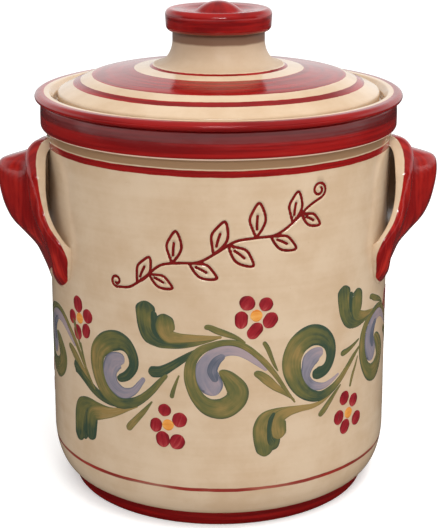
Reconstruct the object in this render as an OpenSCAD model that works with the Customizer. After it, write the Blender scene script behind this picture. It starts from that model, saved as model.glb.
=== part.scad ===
// Lidded ceramic crock for fruit in spirit: a straight-walled pot on a foot ring, with a
// gallery rim that takes a sunken lid, two fluted ear handles and a hollow mushroom knob.
// Origin: centre of the foot, on the ground. +Z is up and the handles lie along X.

/* [Pot] */
// Outside diameter of the wall
body_d = 200; // [160:1:230]
// Height from the ground to the underside of the rim
body_h = 215; // [180:1:260]
// Thickness of the wall
wall_t = 7; // [5:0.5:9]
// Thickness of the floor
floor_t = 9; // [6:0.5:12]
// Radius of the corner between floor and wall, inside
floor_round = 18; // [8:1:26]
// Height of the rounded heel above the foot
heel_h = 25; // [12:1:36]
// How far the heel draws in towards the foot
heel_in = 10.5; // [5:0.5:14]
// How much wider the wall is just above the heel
heel_swell = 0.6; // [0:0.1:1.5]

/* [Foot] */
// Height of the foot ring
foot_h = 9; // [5:0.5:12]
// Width of the foot ring
foot_w = 12; // [8:0.5:18]
// How far the foot ring stands back under the heel
foot_step = 1.6; // [0.5:0.1:3]
// Rounding of the foot ring's edges
foot_round = 1.6; // [0.8:0.1:2.5]

/* [Rim] */
// Height of the collar below the rim bead
collar_h = 14.5; // [10:0.5:20]
// How far the collar stands out from the wall
collar_out = 3.4; // [2:0.1:5]
// Rounding of the collar's lower edge
collar_round = 2.4; // [1:0.1:4]
// Depth of the groove between collar and bead
groove_d = 0.7; // [0.4:0.1:1.2]
// Diameter of the rim bead
bead_d = 6.8; // [5:0.1:9]
// How far the bead stands out from the collar
bead_out = 2.9; // [1.5:0.1:4]
// Width of the ledge that carries the lid
ledge_w = 10.5; // [7:0.5:14]
// Thickness of the ledge
ledge_t = 6; // [4:0.5:8]

/* [Lid] */
// Thickness of the lid's edge, from the ledge to the start of the dome
lid_edge_t = 8; // [5:0.1:10]
// Width of the lid's steeper brim, outside its shallow crown
brim_w = 18.3; // [12:0.1:26]
// Slope of the brim, in degrees
brim_slope = 24.7; // [16:0.1:32]
// Slope of the crown, in degrees
crown_slope = 7.3; // [3:0.1:12]
// Thickness of the lid
lid_t = 6.5; // [5:0.5:8]
// Width of the flat seat under the lid's edge
seat_w = 6.5; // [5:0.5:7]
// Radial clearance between the lid and the rim
lid_clearance = 3; // [1.5:0.1:3.5]
// Diameter of the vent under the knob
vent_d = 5; // [3:0.5:8]

/* [Knob] */
// Diameter of the knob's spreading base
knob_base_d = 75; // [60:1:90]
// Diameter of the neck at its waist
neck_d = 53.2; // [40:0.2:60]
// Height from the lid to the underside of the cap
neck_h = 19.3; // [12:0.1:26]
// Diameter of the cap
cap_d = 61.4; // [50:0.2:74]
// Height of the cap, without its button
cap_h = 12.4; // [10:0.2:20]
// Depth of the dish in the cap's top
dish_d = 2; // [1:0.1:4]
// Diameter of the bell-shaped button, where it rises from the dish
button_d = 27; // [18:0.5:32]
// Height of the button above the bottom of the dish
button_h = 6; // [3:0.1:9]
// Diameter of the hollow inside the knob
knob_hollow_d = 26; // [16:1:32]

/* [Handles] */
// Height of a handle, from its upper root to its lobes
handle_h = 94; // [80:1:105]
// Distance between the handle's top and the rim
handle_drop = 3; // [1:0.5:10]
// How far a handle stands out from the wall
handle_reach = 29.5; // [26:0.5:36]
// Width of a handle at its upper root
handle_top_w = 48; // [40:1:60]
// Width of a handle across its lobes
handle_foot_w = 112; // [90:1:130]
// Finger gap between handle and wall, at its middle
finger_gap = 12.5; // [9:0.5:13]
// Finger gap between handle and wall, at the handle's edges
finger_gap_edge = 6.5; // [4:0.5:7]
// Height of the finger gap
finger_gap_h = 52; // [40:1:56]

/* [Hidden] */
$fn = 96;

// Colours, as glazed
CREAM = [0.87, 0.78, 0.66];
SLIP_RED = [0.52, 0.10, 0.09];

// Pot
body_r = body_d / 2;
inner_r = body_r - wall_t;
heel_r = body_r + heel_swell - heel_in;
floor_z = foot_h + floor_t;
// Height above the heel at which the slight swell has run out into the plain wall
SWELL_H = 76;
swell_top_z = foot_h + heel_h + SWELL_H;
// Steps of a long arc and of a small rounding
ARC_STEPS = 16;
EDGE_STEPS = 8;

// Foot
foot_r = heel_r - foot_step;
foot_inner_r = foot_r - foot_w;

// Rim
collar_r = body_r + collar_out;
bead_r = bead_d / 2;
bead_x = collar_r + bead_out - bead_r;
bead_z = body_h + collar_h + bead_r;
// Angle at which the groove meets the bead
BEAD_FOOT = -48;
// Height of the groove's slope
GROOVE_H = 1;
// Rounding of the lip inside the bead, its flat, and the angle at which it turns down
LIP_ROUND = 1.4;
LIP_FLAT = 0.6;
LIP_TURN = 130;
// How far the gallery's wall stands inside the bead
GALLERY_IN = 4.2;
gallery_r = bead_x - bead_r - GALLERY_IN;
// Height of the gallery's upright wall above the ledge
GALLERY_H = 3.6;
// Depth of the ledge below the foot of the bead
LEDGE_DROP = 1.5;
ledge_z = body_h + collar_h - LEDGE_DROP;
throat_r = gallery_r - ledge_w;

// Lid
lid_r = gallery_r - lid_clearance;
dome_z = ledge_z + lid_edge_t;
// The dome is two cones, crown and brim, that a hyperbola joins at the knee: this is its radius
KNEE_ROUND = 3;
knee_r = lid_r - brim_w;
DOME_STEPS = 30;
// Rounding of the lid's upper edge
LID_EDGE_ROUND = 1.4;
recess_r = lid_r - seat_w;
// Width of the slope from the seat up to the underside of the dome
RECESS_SLOPE = 2;

// Knob
knob_base_r = knob_base_d / 2;
// Height and width of the slope under the knob's base
BOSS_H = 1;
BOSS_OUT = 1.3;
boss_r = knob_base_r + BOSS_OUT;
knob_z = dome_z + dome_height(knob_base_r) + BOSS_H;
neck_r = neck_d / 2;
// Share of the neck's height over which the base spreads
FLARE_SHARE = 0.72;
flare_h = neck_h * FLARE_SHARE;
cap_r = cap_d / 2;
cap_z = knob_z + neck_h;
// The cap's underside: its height, and how far it starts from the neck and the cap's edge
CAP_UNDER_H = 4.6;
CAP_UNDER_UP = 4.2;
CAP_UNDER_IN = 0.5;
// Share of the cap's height below its rounded shoulder, and the shoulder's width
CAP_EDGE_SHARE = 0.62;
CAP_SHOULDER = 4.4;
cap_edge_z = cap_z + cap_h * CAP_EDGE_SHARE;
cap_top_z = cap_z + cap_h;
shoulder_r = cap_r - CAP_SHOULDER;
// Width and fall of the cap's lip
CAP_LIP_W = 2.6;
CAP_LIP_FALL = 0.4;
dish_z = cap_top_z - dish_d;
button_r = button_d / 2;
knob_hollow_r = knob_hollow_d / 2;
// Share of the neck's height at which the hollow's round end starts
HOLLOW_SHARE = 0.7;
hollow_h = neck_h * HOLLOW_SHARE;

// Handles
handle_top_z = body_h - handle_drop;
RINGS_PER_STATION = 3;
OUTER_STEPS = 28;
INNER_STEPS = 14;
// Depth to which a handle's section is carried into the wall before the wall cuts it
ROOT_DEPTH = 2;
// Least thickness of a handle
STRAP_MIN = 2;
// Where the crest of a side roll lies, as a share of the half width
ROLL_AT = 0.78;
// Where the groove lies at the upper root and at the lobes, as shares of the half width
GROOVE_AT = [0.5, 0.63];
// Height of the finger gap's middle below the handle's top, as a share of the handle's height
GAP_MIDDLE = 0.338;

// A handle's stations from top to bottom. Each row holds the drop as a share of the handle's
// height, the spread from the upper width to the lobes' width, and how far the centre roll,
// the groove, the side roll and the edge stand out, as shares of the reach. A form below zero
// has sunk into the wall.
STATIONS = [
    [0.000, 0.00, -0.12, -0.14, -0.14, -0.14],
    [0.014, 0.00, -0.09, -0.02,  0.12,  0.05],
    [0.032, 0.00, -0.05,  0.10,  0.27,  0.13],
    [0.058, 0.04,  0.06,  0.21,  0.37,  0.20],
    [0.085, 0.09,  0.23,  0.30,  0.43,  0.25],
    [0.112, 0.16,  0.48,  0.37,  0.46,  0.28],
    [0.138, 0.24,  0.74,  0.43,  0.48,  0.30],
    [0.165, 0.32,  0.92,  0.47,  0.49,  0.31],
    [0.213, 0.40,  0.99,  0.49,  0.50,  0.31],
    [0.300, 0.47,  1.00,  0.48,  0.50,  0.30],
    [0.404, 0.55,  0.95,  0.45,  0.47,  0.28],
    [0.489, 0.70,  0.87,  0.40,  0.42,  0.24],
    [0.564, 0.90,  0.74,  0.31,  0.35,  0.17],
    [0.640, 1.00,  0.51,  0.19,  0.28,  0.11],
    [0.716, 1.00,  0.30,  0.09,  0.23,  0.07],
    [0.801, 0.92,  0.17,  0.03,  0.17,  0.04],
    [0.867, 0.80,  0.09, -0.04,  0.06, -0.05],
    [0.934, 0.74,  0.02, -0.09, -0.09, -0.10],
    [1.000, 0.74, -0.06, -0.14, -0.14, -0.14]
];

// Points of an elliptic arc about a centre, from one angle to another
function arc(centre, rx, ry, from, to, steps = ARC_STEPS) =
    [for (i = [0:steps])
        let (a = from + (to - from) * i / steps)
        centre + [rx * cos(a), ry * sin(a)]];

// Value between a and b
function mix(a, b, t) = a + (b - a) * t;

// Height of the lid's dome above its edge, at a radius
function dome_height(r) =
    let (
        mean = (tan(brim_slope) + tan(crown_slope)) / 2,
        bend = (tan(brim_slope) - tan(crown_slope)) / 2)
    mean * (lid_r - r) + bend * (norm([lid_r - knee_r, KNEE_ROUND]) - norm([r - knee_r, KNEE_ROUND]));

// Points of the dome's curve from one radius to another, raised by an amount
function dome_curve(from, to, lift) =
    [for (i = [0:DOME_STEPS])
        let (r = mix(from, to, i / DOME_STEPS))
        [r, dome_z + dome_height(r) + lift]];

// Outer outline of the pot's wall, from the heel up
function wall_outline() = concat(
    arc([heel_r, foot_h + heel_h], heel_in, heel_h, -90, 0),
    [[body_r, swell_top_z], [body_r, body_h]]);

module crock_body() {
    color(CREAM)
    rotate_extrude()
    polygon(concat(
        [[0, foot_h]],
        wall_outline(),
        [[inner_r, body_h]],
        arc([inner_r - floor_round, floor_z + floor_round], floor_round, floor_round, 0, -90),
        [[0, floor_z]]));
}

module foot_ring() {
    outer = foot_r - foot_round;
    color(SLIP_RED)
    rotate_extrude()
    polygon(concat(
        [[foot_inner_r, foot_h]],
        arc([foot_inner_r + foot_round, foot_round], foot_round, foot_round, 180, 270, EDGE_STEPS),
        arc([outer, foot_round], foot_round, foot_round, -90, 0, EDGE_STEPS),
        arc([outer, foot_h - foot_round], foot_round, foot_round, 0, 90, EDGE_STEPS)));
}

// Collar, groove, bead and the ledge that carries the lid, turned as one ring
module gallery_rim() {
    collar_edge = [collar_r - collar_round, body_h + collar_round];
    lip = [bead_x - bead_r - LIP_FLAT, bead_z + bead_r - LIP_ROUND];
    color(SLIP_RED)
    rotate_extrude()
    polygon(concat(
        [[inner_r, body_h]],
        [[body_r, body_h]],
        arc(collar_edge, collar_round, collar_round, -90, 0, EDGE_STEPS),
        [[collar_r, bead_z - bead_r - GROOVE_H]],
        [[collar_r - groove_d, bead_z - bead_r]],
        arc([bead_x, bead_z], bead_r, bead_r, BEAD_FOOT, 90),
        arc(lip, LIP_ROUND, LIP_ROUND, 90, LIP_TURN, EDGE_STEPS),
        [[gallery_r, ledge_z + GALLERY_H]],
        [[gallery_r, ledge_z]],
        [[throat_r, ledge_z]],
        [[throat_r, ledge_z - ledge_t]]));
}

module lid_plate() {
    edge_r = lid_r - LID_EDGE_ROUND;
    edge_z = dome_z + dome_height(edge_r + LID_EDGE_ROUND * sin(brim_slope))
        - LID_EDGE_ROUND * cos(brim_slope);
    color(CREAM)
    difference() {
        rotate_extrude()
        polygon(concat(
            [[0, knob_z]],
            [[knob_base_r, knob_z]],
            [[boss_r, knob_z - BOSS_H]],
            dome_curve(boss_r, edge_r, 0),
            arc([edge_r, edge_z], LID_EDGE_ROUND, LID_EDGE_ROUND, 90 - brim_slope, 0, EDGE_STEPS),
            [[lid_r, ledge_z]],
            [[recess_r, ledge_z]],
            dome_curve(recess_r - RECESS_SLOPE, knob_base_r, -lid_t),
            [[0, dome_z + dome_height(knob_base_r) - lid_t]]));
        translate([0, 0, ledge_z])
        cylinder(d = vent_d, h = knob_z - ledge_z + 1);
    }
}

// Spreading neck and mushroom cap, with a button in the dished top
module lid_knob() {
    under_r = neck_r + CAP_UNDER_IN;
    color(SLIP_RED)
    difference() {
        rotate_extrude()
        polygon(concat(
            [[0, knob_z]],
            arc([knob_base_r, knob_z + flare_h], knob_base_r - neck_r, flare_h, -90, -180),
            arc([under_r, cap_z + CAP_UNDER_UP], cap_r - under_r, CAP_UNDER_H, -90, 0, EDGE_STEPS),
            [[cap_r, cap_edge_z]],
            arc([shoulder_r, cap_edge_z], CAP_SHOULDER, cap_top_z - cap_edge_z, 0, 90, EDGE_STEPS),
            [[shoulder_r - CAP_LIP_W, cap_top_z - CAP_LIP_FALL]],
            [for (i = [ARC_STEPS:-1:0])
                let (turn = 180 * i / ARC_STEPS)
                [button_r * i / ARC_STEPS, dish_z + button_h * (1 + cos(turn)) / 2]]));
        translate([0, 0, knob_z - 1])
        cylinder(r = knob_hollow_r, h = hollow_h + 1);
        translate([0, 0, knob_z + hollow_h])
        sphere(r = knob_hollow_r);
    }
}

// Smooth curve through the stations: i counts stations, t runs from 0 to 1 between two
function station(i, t) =
    let (
        last = len(STATIONS) - 1,
        a = STATIONS[max(i - 1, 0)],
        b = STATIONS[i],
        c = STATIONS[min(i + 1, last)],
        d = STATIONS[min(i + 2, last)])
    b + 0.5 * t * ((c - a) + t * ((2 * a - 5 * b + 4 * c - d) + t * (3 * (b - c) + d - a)));

// Eased value between a and b, level at both ends
function ease(a, b, t) = a + (b - a) * (1 - cos(180 * t)) / 2;

// Height of a handle's outer face above the wall, at a share s of the half width
function flute(row, s) =
    let (
        groove_at = mix(GROOVE_AT[0], GROOVE_AT[1], row[1]),
        p = abs(s))
    p < groove_at ? ease(row[2], row[3], p / groove_at)
    : p < ROLL_AT ? ease(row[3], row[4], (p - groove_at) / (ROLL_AT - groove_at))
    : row[5] + (row[4] - row[5]) * sqrt(max(0, 1 - pow((p - ROLL_AT) / (1 - ROLL_AT), 2)));

// Height of a handle's inner face above the wall, at a drop and a share of the half width
function hollow(drop, s) =
    let (
        q = (drop - GAP_MIDDLE) * handle_h / (finger_gap_h / 2),
        open = sqrt(max(0, 1 - q * q)))
    open * (ROOT_DEPTH + ease(finger_gap, finger_gap_edge, abs(s))) - ROOT_DEPTH;

// A point of a handle, from its arc along the wall, its height above the wall and its z
function on_wall(arc_mm, height, z) =
    let (a = arc_mm / body_r * 180 / PI)
    [(body_r + height) * cos(a), (body_r + height) * sin(a), z];

// One level ring of a handle: its outer face one way and its inner face back
function handle_ring(row) =
    let (
        z = handle_top_z - row[0] * handle_h,
        half = mix(handle_top_w, handle_foot_w, row[1]) / 2)
    concat(
        [for (i = [0:OUTER_STEPS])
            let (s = 2 * i / OUTER_STEPS - 1)
            on_wall(s * half, handle_reach * flute(row, s), z)],
        [for (i = [0:INNER_STEPS])
            let (s = 1 - 2 * i / INNER_STEPS)
            let (outer = handle_reach * flute(row, s))
            on_wall(s * half, min(hollow(row[0], s), outer - STRAP_MIN), z)]);

// Rings joined into one closed skin
module loft(rings) {
    n = len(rings[0]);
    last = len(rings) - 1;
    polyhedron(
        points = [for (ring = rings) each ring],
        faces = concat(
            [[for (i = [0:n - 1]) i]],
            [for (k = [0:last - 1], i = [0:n - 1])
                let (a = k * n + i, b = k * n + (i + 1) % n)
                [a, a + n, b]],
            [for (k = [0:last - 1], i = [0:n - 1])
                let (a = k * n + i, b = k * n + (i + 1) % n)
                [b, a + n, b + n]],
            [[for (i = [n - 1:-1:0]) last * n + i]]));
}

// Handle on the +X side, cut to the wall's outer face
module handle() {
    spans = len(STATIONS) - 1;
    rings = [for (k = [0:spans * RINGS_PER_STATION])
        let (i = min(floor(k / RINGS_PER_STATION), spans - 1))
        handle_ring(station(i, k / RINGS_PER_STATION - i))];
    color(SLIP_RED)
    difference() {
        loft(rings);
        rotate_extrude()
        polygon(concat([[0, foot_h]], wall_outline(), [[0, body_h]]));
    }
}

module handle_right() {
    handle();
}

module handle_left() {
    mirror([1, 0, 0])
    handle();
}

crock_body();
foot_ring();
gallery_rim();
handle_left();
handle_right();
lid_plate();
lid_knob();
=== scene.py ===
"""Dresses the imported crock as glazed, hand-painted stoneware.

Turned clay under a cream glaze, brushed red bands, a painted scroll of leaves and flowers, an
incised sprig, two fluted ear handles and a loose lid. Lengths are in millimetres until they
reach a mesh, heights are above the ground, and arcs run along the wall from the middle of the
front, positive towards the right-hand handle.
"""

import logging
import math
from dataclasses import dataclass, field
from enum import Enum
from typing import Any, Optional, Sequence, Union

import bpy
import numpy as np
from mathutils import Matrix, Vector


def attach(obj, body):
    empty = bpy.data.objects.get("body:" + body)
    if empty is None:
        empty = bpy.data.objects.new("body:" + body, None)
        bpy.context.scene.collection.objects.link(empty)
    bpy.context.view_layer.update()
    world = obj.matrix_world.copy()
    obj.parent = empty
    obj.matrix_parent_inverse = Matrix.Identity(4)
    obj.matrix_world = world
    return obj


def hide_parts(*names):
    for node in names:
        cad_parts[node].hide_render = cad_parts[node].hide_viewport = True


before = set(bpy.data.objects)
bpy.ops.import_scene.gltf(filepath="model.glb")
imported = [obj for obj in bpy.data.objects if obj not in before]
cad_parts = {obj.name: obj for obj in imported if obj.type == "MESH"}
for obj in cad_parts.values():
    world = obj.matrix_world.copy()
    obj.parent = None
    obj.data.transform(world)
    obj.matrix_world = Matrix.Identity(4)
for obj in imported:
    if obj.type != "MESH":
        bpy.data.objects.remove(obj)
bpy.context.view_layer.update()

MM = 0.001
PHOTO_HEIGHT_PX = 528
LOG = logging.getLogger("crock")

Colour = tuple[float, float, float, float]
Number = Union[int, float]
Point = tuple[float, float]


class Body(Enum):
    """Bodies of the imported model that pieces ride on."""

    CROCK = "crock"
    LID = "lid"


class Slot(Enum):
    """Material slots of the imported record."""

    CREAM = "cream_glaze"
    RED = "red_slip"
    GREEN = "leaf_green"
    BLUE = "scroll_blue"
    PETAL = "petal_red"
    OCHRE = "flower_ochre"


def srgb(red: Number, green: Number, blue: Number) -> Colour:
    """Linear colour of an sRGB colour.

    Args:
        red: Red from 0 to 255.
        green: Green from 0 to 255.
        blue: Blue from 0 to 255.

    Returns:
        The linear colour with full alpha.
    """
    steps = [channel / 255 for channel in (red, green, blue)]
    linear = [c / 12.92 if c <= 0.04045 else ((c + 0.055) / 1.055) ** 2.4 for c in steps]
    return (linear[0], linear[1], linear[2], 1.0)


class Value:
    """A node's output that takes part in sums: each operator adds one Math node."""

    def __init__(self, maker: "Maker", socket: bpy.types.NodeSocket) -> None:
        """Wraps a socket.

        Args:
            maker: Maker of the tree that holds the socket.
            socket: The output socket.
        """
        self.maker = maker
        self.socket = socket

    def __add__(self, other: Any) -> "Value":
        """Sum."""
        return self.maker.math("ADD", self, other)

    def __radd__(self, other: Any) -> "Value":
        """Reflected sum."""
        return self.maker.math("ADD", other, self)

    def __sub__(self, other: Any) -> "Value":
        """Difference."""
        return self.maker.math("SUBTRACT", self, other)

    def __rsub__(self, other: Any) -> "Value":
        """Reflected difference."""
        return self.maker.math("SUBTRACT", other, self)

    def __mul__(self, other: Any) -> "Value":
        """Product."""
        return self.maker.math("MULTIPLY", self, other)

    def __rmul__(self, other: Any) -> "Value":
        """Reflected product."""
        return self.maker.math("MULTIPLY", other, self)

    def __truediv__(self, other: Any) -> "Value":
        """Quotient."""
        return self.maker.math("DIVIDE", self, other)

    def __pow__(self, other: Any) -> "Value":
        """Power."""
        return self.maker.math("POWER", self, other)

    def __abs__(self) -> "Value":
        """Absolute value."""
        return self.maker.math("ABSOLUTE", self)

    def low(self, other: Any) -> "Value":
        """The lower of two values."""
        return self.maker.math("MINIMUM", self, other)

    def high(self, other: Any) -> "Value":
        """The higher of two values."""
        return self.maker.math("MAXIMUM", self, other)

    def rise(self, start: Any, end: Any) -> "Value":
        """Smooth step.

        Args:
            start: Value at which the step starts at 0.
            end: Value at which it reaches 1; below start, the step falls.

        Returns:
            A value from 0 to 1.
        """
        settings = {"interpolation_type": "SMOOTHSTEP"}
        inputs = {"Value": self, "From Min": start, "From Max": end}
        return self.maker.value("ShaderNodeMapRange", settings, inputs)

    def band(self, centre: Any, width: Any, soft: float) -> "Value":
        """Band about a centre.

        Args:
            centre: Value at the band's middle.
            width: Width of the band.
            soft: Width of its soft border.

        Returns:
            1 within the band and 0 outside.
        """
        half = width / 2
        return abs(self - centre).rise(half + soft / 2, half - soft / 2)


class Maker:
    """Adds nodes to one tree, for materials and for geometry alike."""

    def __init__(self, tree: bpy.types.NodeTree) -> None:
        """Keeps the tree.

        Args:
            tree: The node tree to fill.
        """
        self.tree = tree

    def node(self, kind: str, settings: dict[str, Any], inputs: dict[Any, Any]) -> bpy.types.Node:
        """Adds a node.

        Args:
            kind: Type of the node.
            settings: Properties, which are set before the inputs.
            inputs: Values or links by the socket's identifier, name or number.

        Returns:
            The new node.
        """
        made = self.tree.nodes.new(kind)
        for key, setting in settings.items():
            setattr(made, key, setting)
        for key, given in inputs.items():
            named = [s for s in made.inputs if s.identifier == key]
            socket = named[0] if named else made.inputs[key]
            if isinstance(given, Value):
                self.tree.links.new(given.socket, socket)
            else:
                socket.default_value = given
        return made

    def value(self, kind: str, settings: dict[str, Any], inputs: dict[Any, Any],
              output: Union[int, str] = 0) -> Value:
        """Adds a node and wraps one of its outputs.

        Args:
            kind: Type of the node.
            settings: Properties of the node.
            inputs: Values or links by the socket's identifier, name or number.
            output: The output's number, name or identifier.

        Returns:
            The wrapped output.
        """
        made = self.node(kind, settings, inputs)
        named = [s for s in made.outputs if s.identifier == output]
        return Value(self, named[0] if named else made.outputs[output])

    def math(self, operation: str, *operands: Any) -> Value:
        """One Math node on up to three operands."""
        return self.value("ShaderNodeMath", {"operation": operation}, dict(enumerate(operands)))

    def vector(self, operation: str, inputs: dict[Any, Any]) -> Value:
        """One Vector Math node that gives a vector."""
        return self.value("ShaderNodeVectorMath", {"operation": operation}, inputs)

    def join(self, x: Any, y: Any, z: Any) -> Value:
        """A vector from three numbers."""
        return self.value("ShaderNodeCombineXYZ", {}, {0: x, 1: y, 2: z})

    def split(self, vector: Value) -> tuple[Value, Value, Value]:
        """The three numbers of a vector."""
        made = self.node("ShaderNodeSeparateXYZ", {}, {0: vector})
        return (Value(self, made.outputs[0]), Value(self, made.outputs[1]),
                Value(self, made.outputs[2]))

    def mix(self, factor: Any, first: Any, second: Any) -> Value:
        """Colour between two colours.

        Args:
            factor: 0 for the first, 1 for the second.
            first: First colour.
            second: Second colour.

        Returns:
            The mixed colour.
        """
        inputs = {"Factor_Float": factor, "A_Color": first, "B_Color": second}
        return self.value("ShaderNodeMix", {"data_type": "RGBA"}, inputs, "Result_Color")

    def noise(self, vector: Value, scale: float, detail: float = 3.0,
              roughness: float = 0.5) -> Value:
        """Noise about 0.5.

        Args:
            vector: Place in the noise.
            scale: Its scale.
            detail: Number of octaves.
            roughness: Strength of the finer octaves.

        Returns:
            The noise value.
        """
        inputs = {"Vector": vector, "Scale": scale, "Detail": detail, "Roughness": roughness}
        return self.value("ShaderNodeTexNoise", {}, inputs)

    def attribute(self, name: str, output: str = "Fac") -> Value:
        """A named attribute of the mesh, for a material."""
        return self.value("ShaderNodeAttribute", {"attribute_name": name}, {}, output)

    def named(self, name: str, kind: str) -> Value:
        """A named attribute of the geometry, for a geometry tree."""
        return self.value("GeometryNodeInputNamedAttribute", {"data_type": kind}, {"Name": name})


@dataclass
class Place:
    """Where a shaded point lies: height and radius in mm, and its bearing about the axis."""

    maker: Maker
    x: Value = field(init=False)
    y: Value = field(init=False)
    z: Value = field(init=False)
    radius: Value = field(init=False)
    position: Value = field(init=False)
    bearing: Value = field(init=False)

    def __post_init__(self) -> None:
        """Adds the nodes that read the object's own coordinates."""
        here = self.maker.value("ShaderNodeTexCoord", {}, {}, "Object")
        self.position = self.maker.vector("SCALE", {0: here, "Scale": 1 / MM})
        self.x, self.y, self.z = self.maker.split(self.position)
        self.radius = (self.x * self.x + self.y * self.y) ** 0.5
        flat = self.maker.join(self.x, self.y, 0.0)
        self.bearing = self.maker.vector("NORMALIZE", {0: flat})

    def around(self, turn: float, along: Value, seed: float) -> Value:
        """Place in a noise that runs in rings round the axis.

        Args:
            turn: How many features pass in one radian of turning.
            along: Distance across the rings, scaled to the noise.
            seed: Shift of the noise.

        Returns:
            The vector to feed to a noise.
        """
        ring = self.maker.vector("SCALE", {0: self.bearing, "Scale": turn})
        across = self.maker.join(seed, -seed, along)
        return self.maker.vector("ADD", {0: ring, 1: across})


@dataclass(frozen=True)
class Ground:
    """What a finish hands to its shader: colour, roughness and relief in mm."""

    colour: Value
    roughness: Any
    relief: Value


@dataclass(frozen=True)
class Finish:
    """A glazed finish. A kind of finish overrides ground()."""

    name: str
    relief_mm: float = 0.12

    def ground(self, maker: Maker, place: Place) -> Ground:
        """Colour, roughness and relief over the surface."""
        raise NotImplementedError

    def material(self) -> bpy.types.Material:
        """Builds the finish's material.

        Returns:
            A material whose colour, roughness and bump come from nodes.
        """
        made = bpy.data.materials.new(self.name)
        made.use_nodes = True
        made.node_tree.nodes.clear()
        maker = Maker(made.node_tree)
        ground = self.ground(maker, Place(maker))
        bump = maker.value("ShaderNodeBump", {}, {
            "Strength": 1.0, "Distance": self.relief_mm * MM, "Height": ground.relief})
        glaze = maker.value("ShaderNodeBsdfPrincipled", {}, {
            "Base Color": ground.colour, "Roughness": ground.roughness, "IOR": 1.5,
            "Normal": bump})
        maker.node("ShaderNodeOutputMaterial", {}, {"Surface": glaze})
        return made


@dataclass(frozen=True)
class CreamGround(Finish):
    """Cream gloss glaze, with the mottling and the fine specks of a fired body."""

    light: Colour = srgb(216, 191, 162)
    deep: Colour = srgb(204, 175, 143)
    speck: Colour = srgb(172, 138, 104)
    clay: Colour = srgb(180, 142, 106)

    def cream(self, maker: Maker, place: Place) -> Value:
        """Colour of the glaze before any band is painted on it."""
        cloud = maker.noise(place.position, 0.035, 4.0, 0.6)
        turning = maker.noise(place.around(0.9, (place.z + place.radius) * 0.25, 3.0), 1.0, 2.0)
        tone = (cloud * 0.8 + turning * 0.2).rise(0.34, 0.68)
        glaze = maker.mix(tone, self.light, self.deep)
        specks = maker.noise(place.position, 0.9, 2.0, 0.6).rise(0.70, 0.76)
        return maker.mix(specks * 0.35, glaze, self.speck)

    def sheen(self, maker: Maker, place: Place) -> Value:
        """Roughness of the gloss glaze, a little uneven."""
        return maker.noise(place.position, 0.06, 2.0) * 0.10 + 0.10

    def ripple(self, maker: Maker, place: Place) -> Value:
        """Relief of the glaze: soft turning lines and orange peel."""
        lines = maker.noise(place.around(0.8, (place.z + place.radius) * 0.42, 7.0), 1.0, 2.0)
        peel = maker.noise(place.position, 0.11, 2.0)
        return lines * 0.4 + peel * 0.8

    def ground(self, maker: Maker, place: Place) -> Ground:
        """Plain cream glaze."""
        return Ground(self.cream(maker, place), self.sheen(maker, place),
                      self.ripple(maker, place))


@dataclass(frozen=True)
class SlipColours:
    """The red underglaze, where it lies thick and where the brush left it thin."""

    deep: Colour = srgb(118, 12, 13)
    bright: Colour = srgb(156, 22, 19)
    thin: Colour = srgb(186, 68, 52)
    lively: Colour = srgb(198, 44, 32)

    def brushed(self, maker: Maker, streak: Value) -> Value:
        """Colour of the slip for a streak value about 0.5."""
        body = maker.mix(streak.rise(0.30, 0.66), self.deep, self.bright)
        return maker.mix(streak.rise(0.62, 0.90) * 0.5, body, self.thin)


SLIP = SlipColours()


@dataclass(frozen=True)
class BandedWall(CreamGround):
    """The wall's glaze: a red stripe under the rim and a thin red line above the foot."""

    stripe: tuple[float, float] = (207.7, 3.7)
    line: tuple[float, float] = (27.7, 1.9)
    under_rim: float = 209.6
    # Colour of the painted shade on the cream band under the collar.
    shade: Colour = srgb(158, 124, 92)

    def ground(self, maker: Maker, place: Place) -> Ground:
        """Cream wall with its two turned lines, and bare clay under the floor."""
        wander = (maker.noise(place.around(1.6, place.z * 0.0, 1.0), 1.0, 2.0) - 0.5) * 1.5
        fray = (maker.noise(place.around(14.0, place.z * 0.6, 4.0), 1.0, 2.0) - 0.5) * 0.5
        level = place.z + wander + fray
        streak = maker.noise(place.around(3.0, place.z * 1.6, 2.0), 1.0, 3.0, 0.6)
        outside = place.radius.rise(96.0, 96.5)
        stripe = level.band(self.stripe[0], self.stripe[1], 0.35)
        load = maker.noise(place.around(2.4, place.z * 0.2, 9.0), 1.0, 2.0).rise(0.3, 0.6)
        line = level.band(self.line[0], load * 0.7 + self.line[1] * 0.8, 0.5)
        painted = (stripe.high(line * (load * 0.25 + 0.7)) * outside).low(1.0)
        cream = self.cream(maker, place)
        # Painted shade: the cream just under the collar darkens towards the shade colour, where the
        # collar's shadow falls.
        painted_shade = level.rise(self.under_rim + 0.45, self.under_rim + 0.85) * outside
        cream = maker.mix(painted_shade, cream, self.shade)
        colour = maker.mix(painted, cream, SLIP.brushed(maker, streak))
        bare = place.z.rise(9.5, 9.1)
        colour = maker.mix(bare, colour, self.clay)
        rough = self.sheen(maker, place) + bare * 0.5
        return Ground(colour, rough, self.ripple(maker, place))


@dataclass(frozen=True)
class Ring:
    """A red ring on the lid, from one radius to another, and how much its border wanders."""

    inner: float
    outer: float
    wander: float
    seed: float


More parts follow.
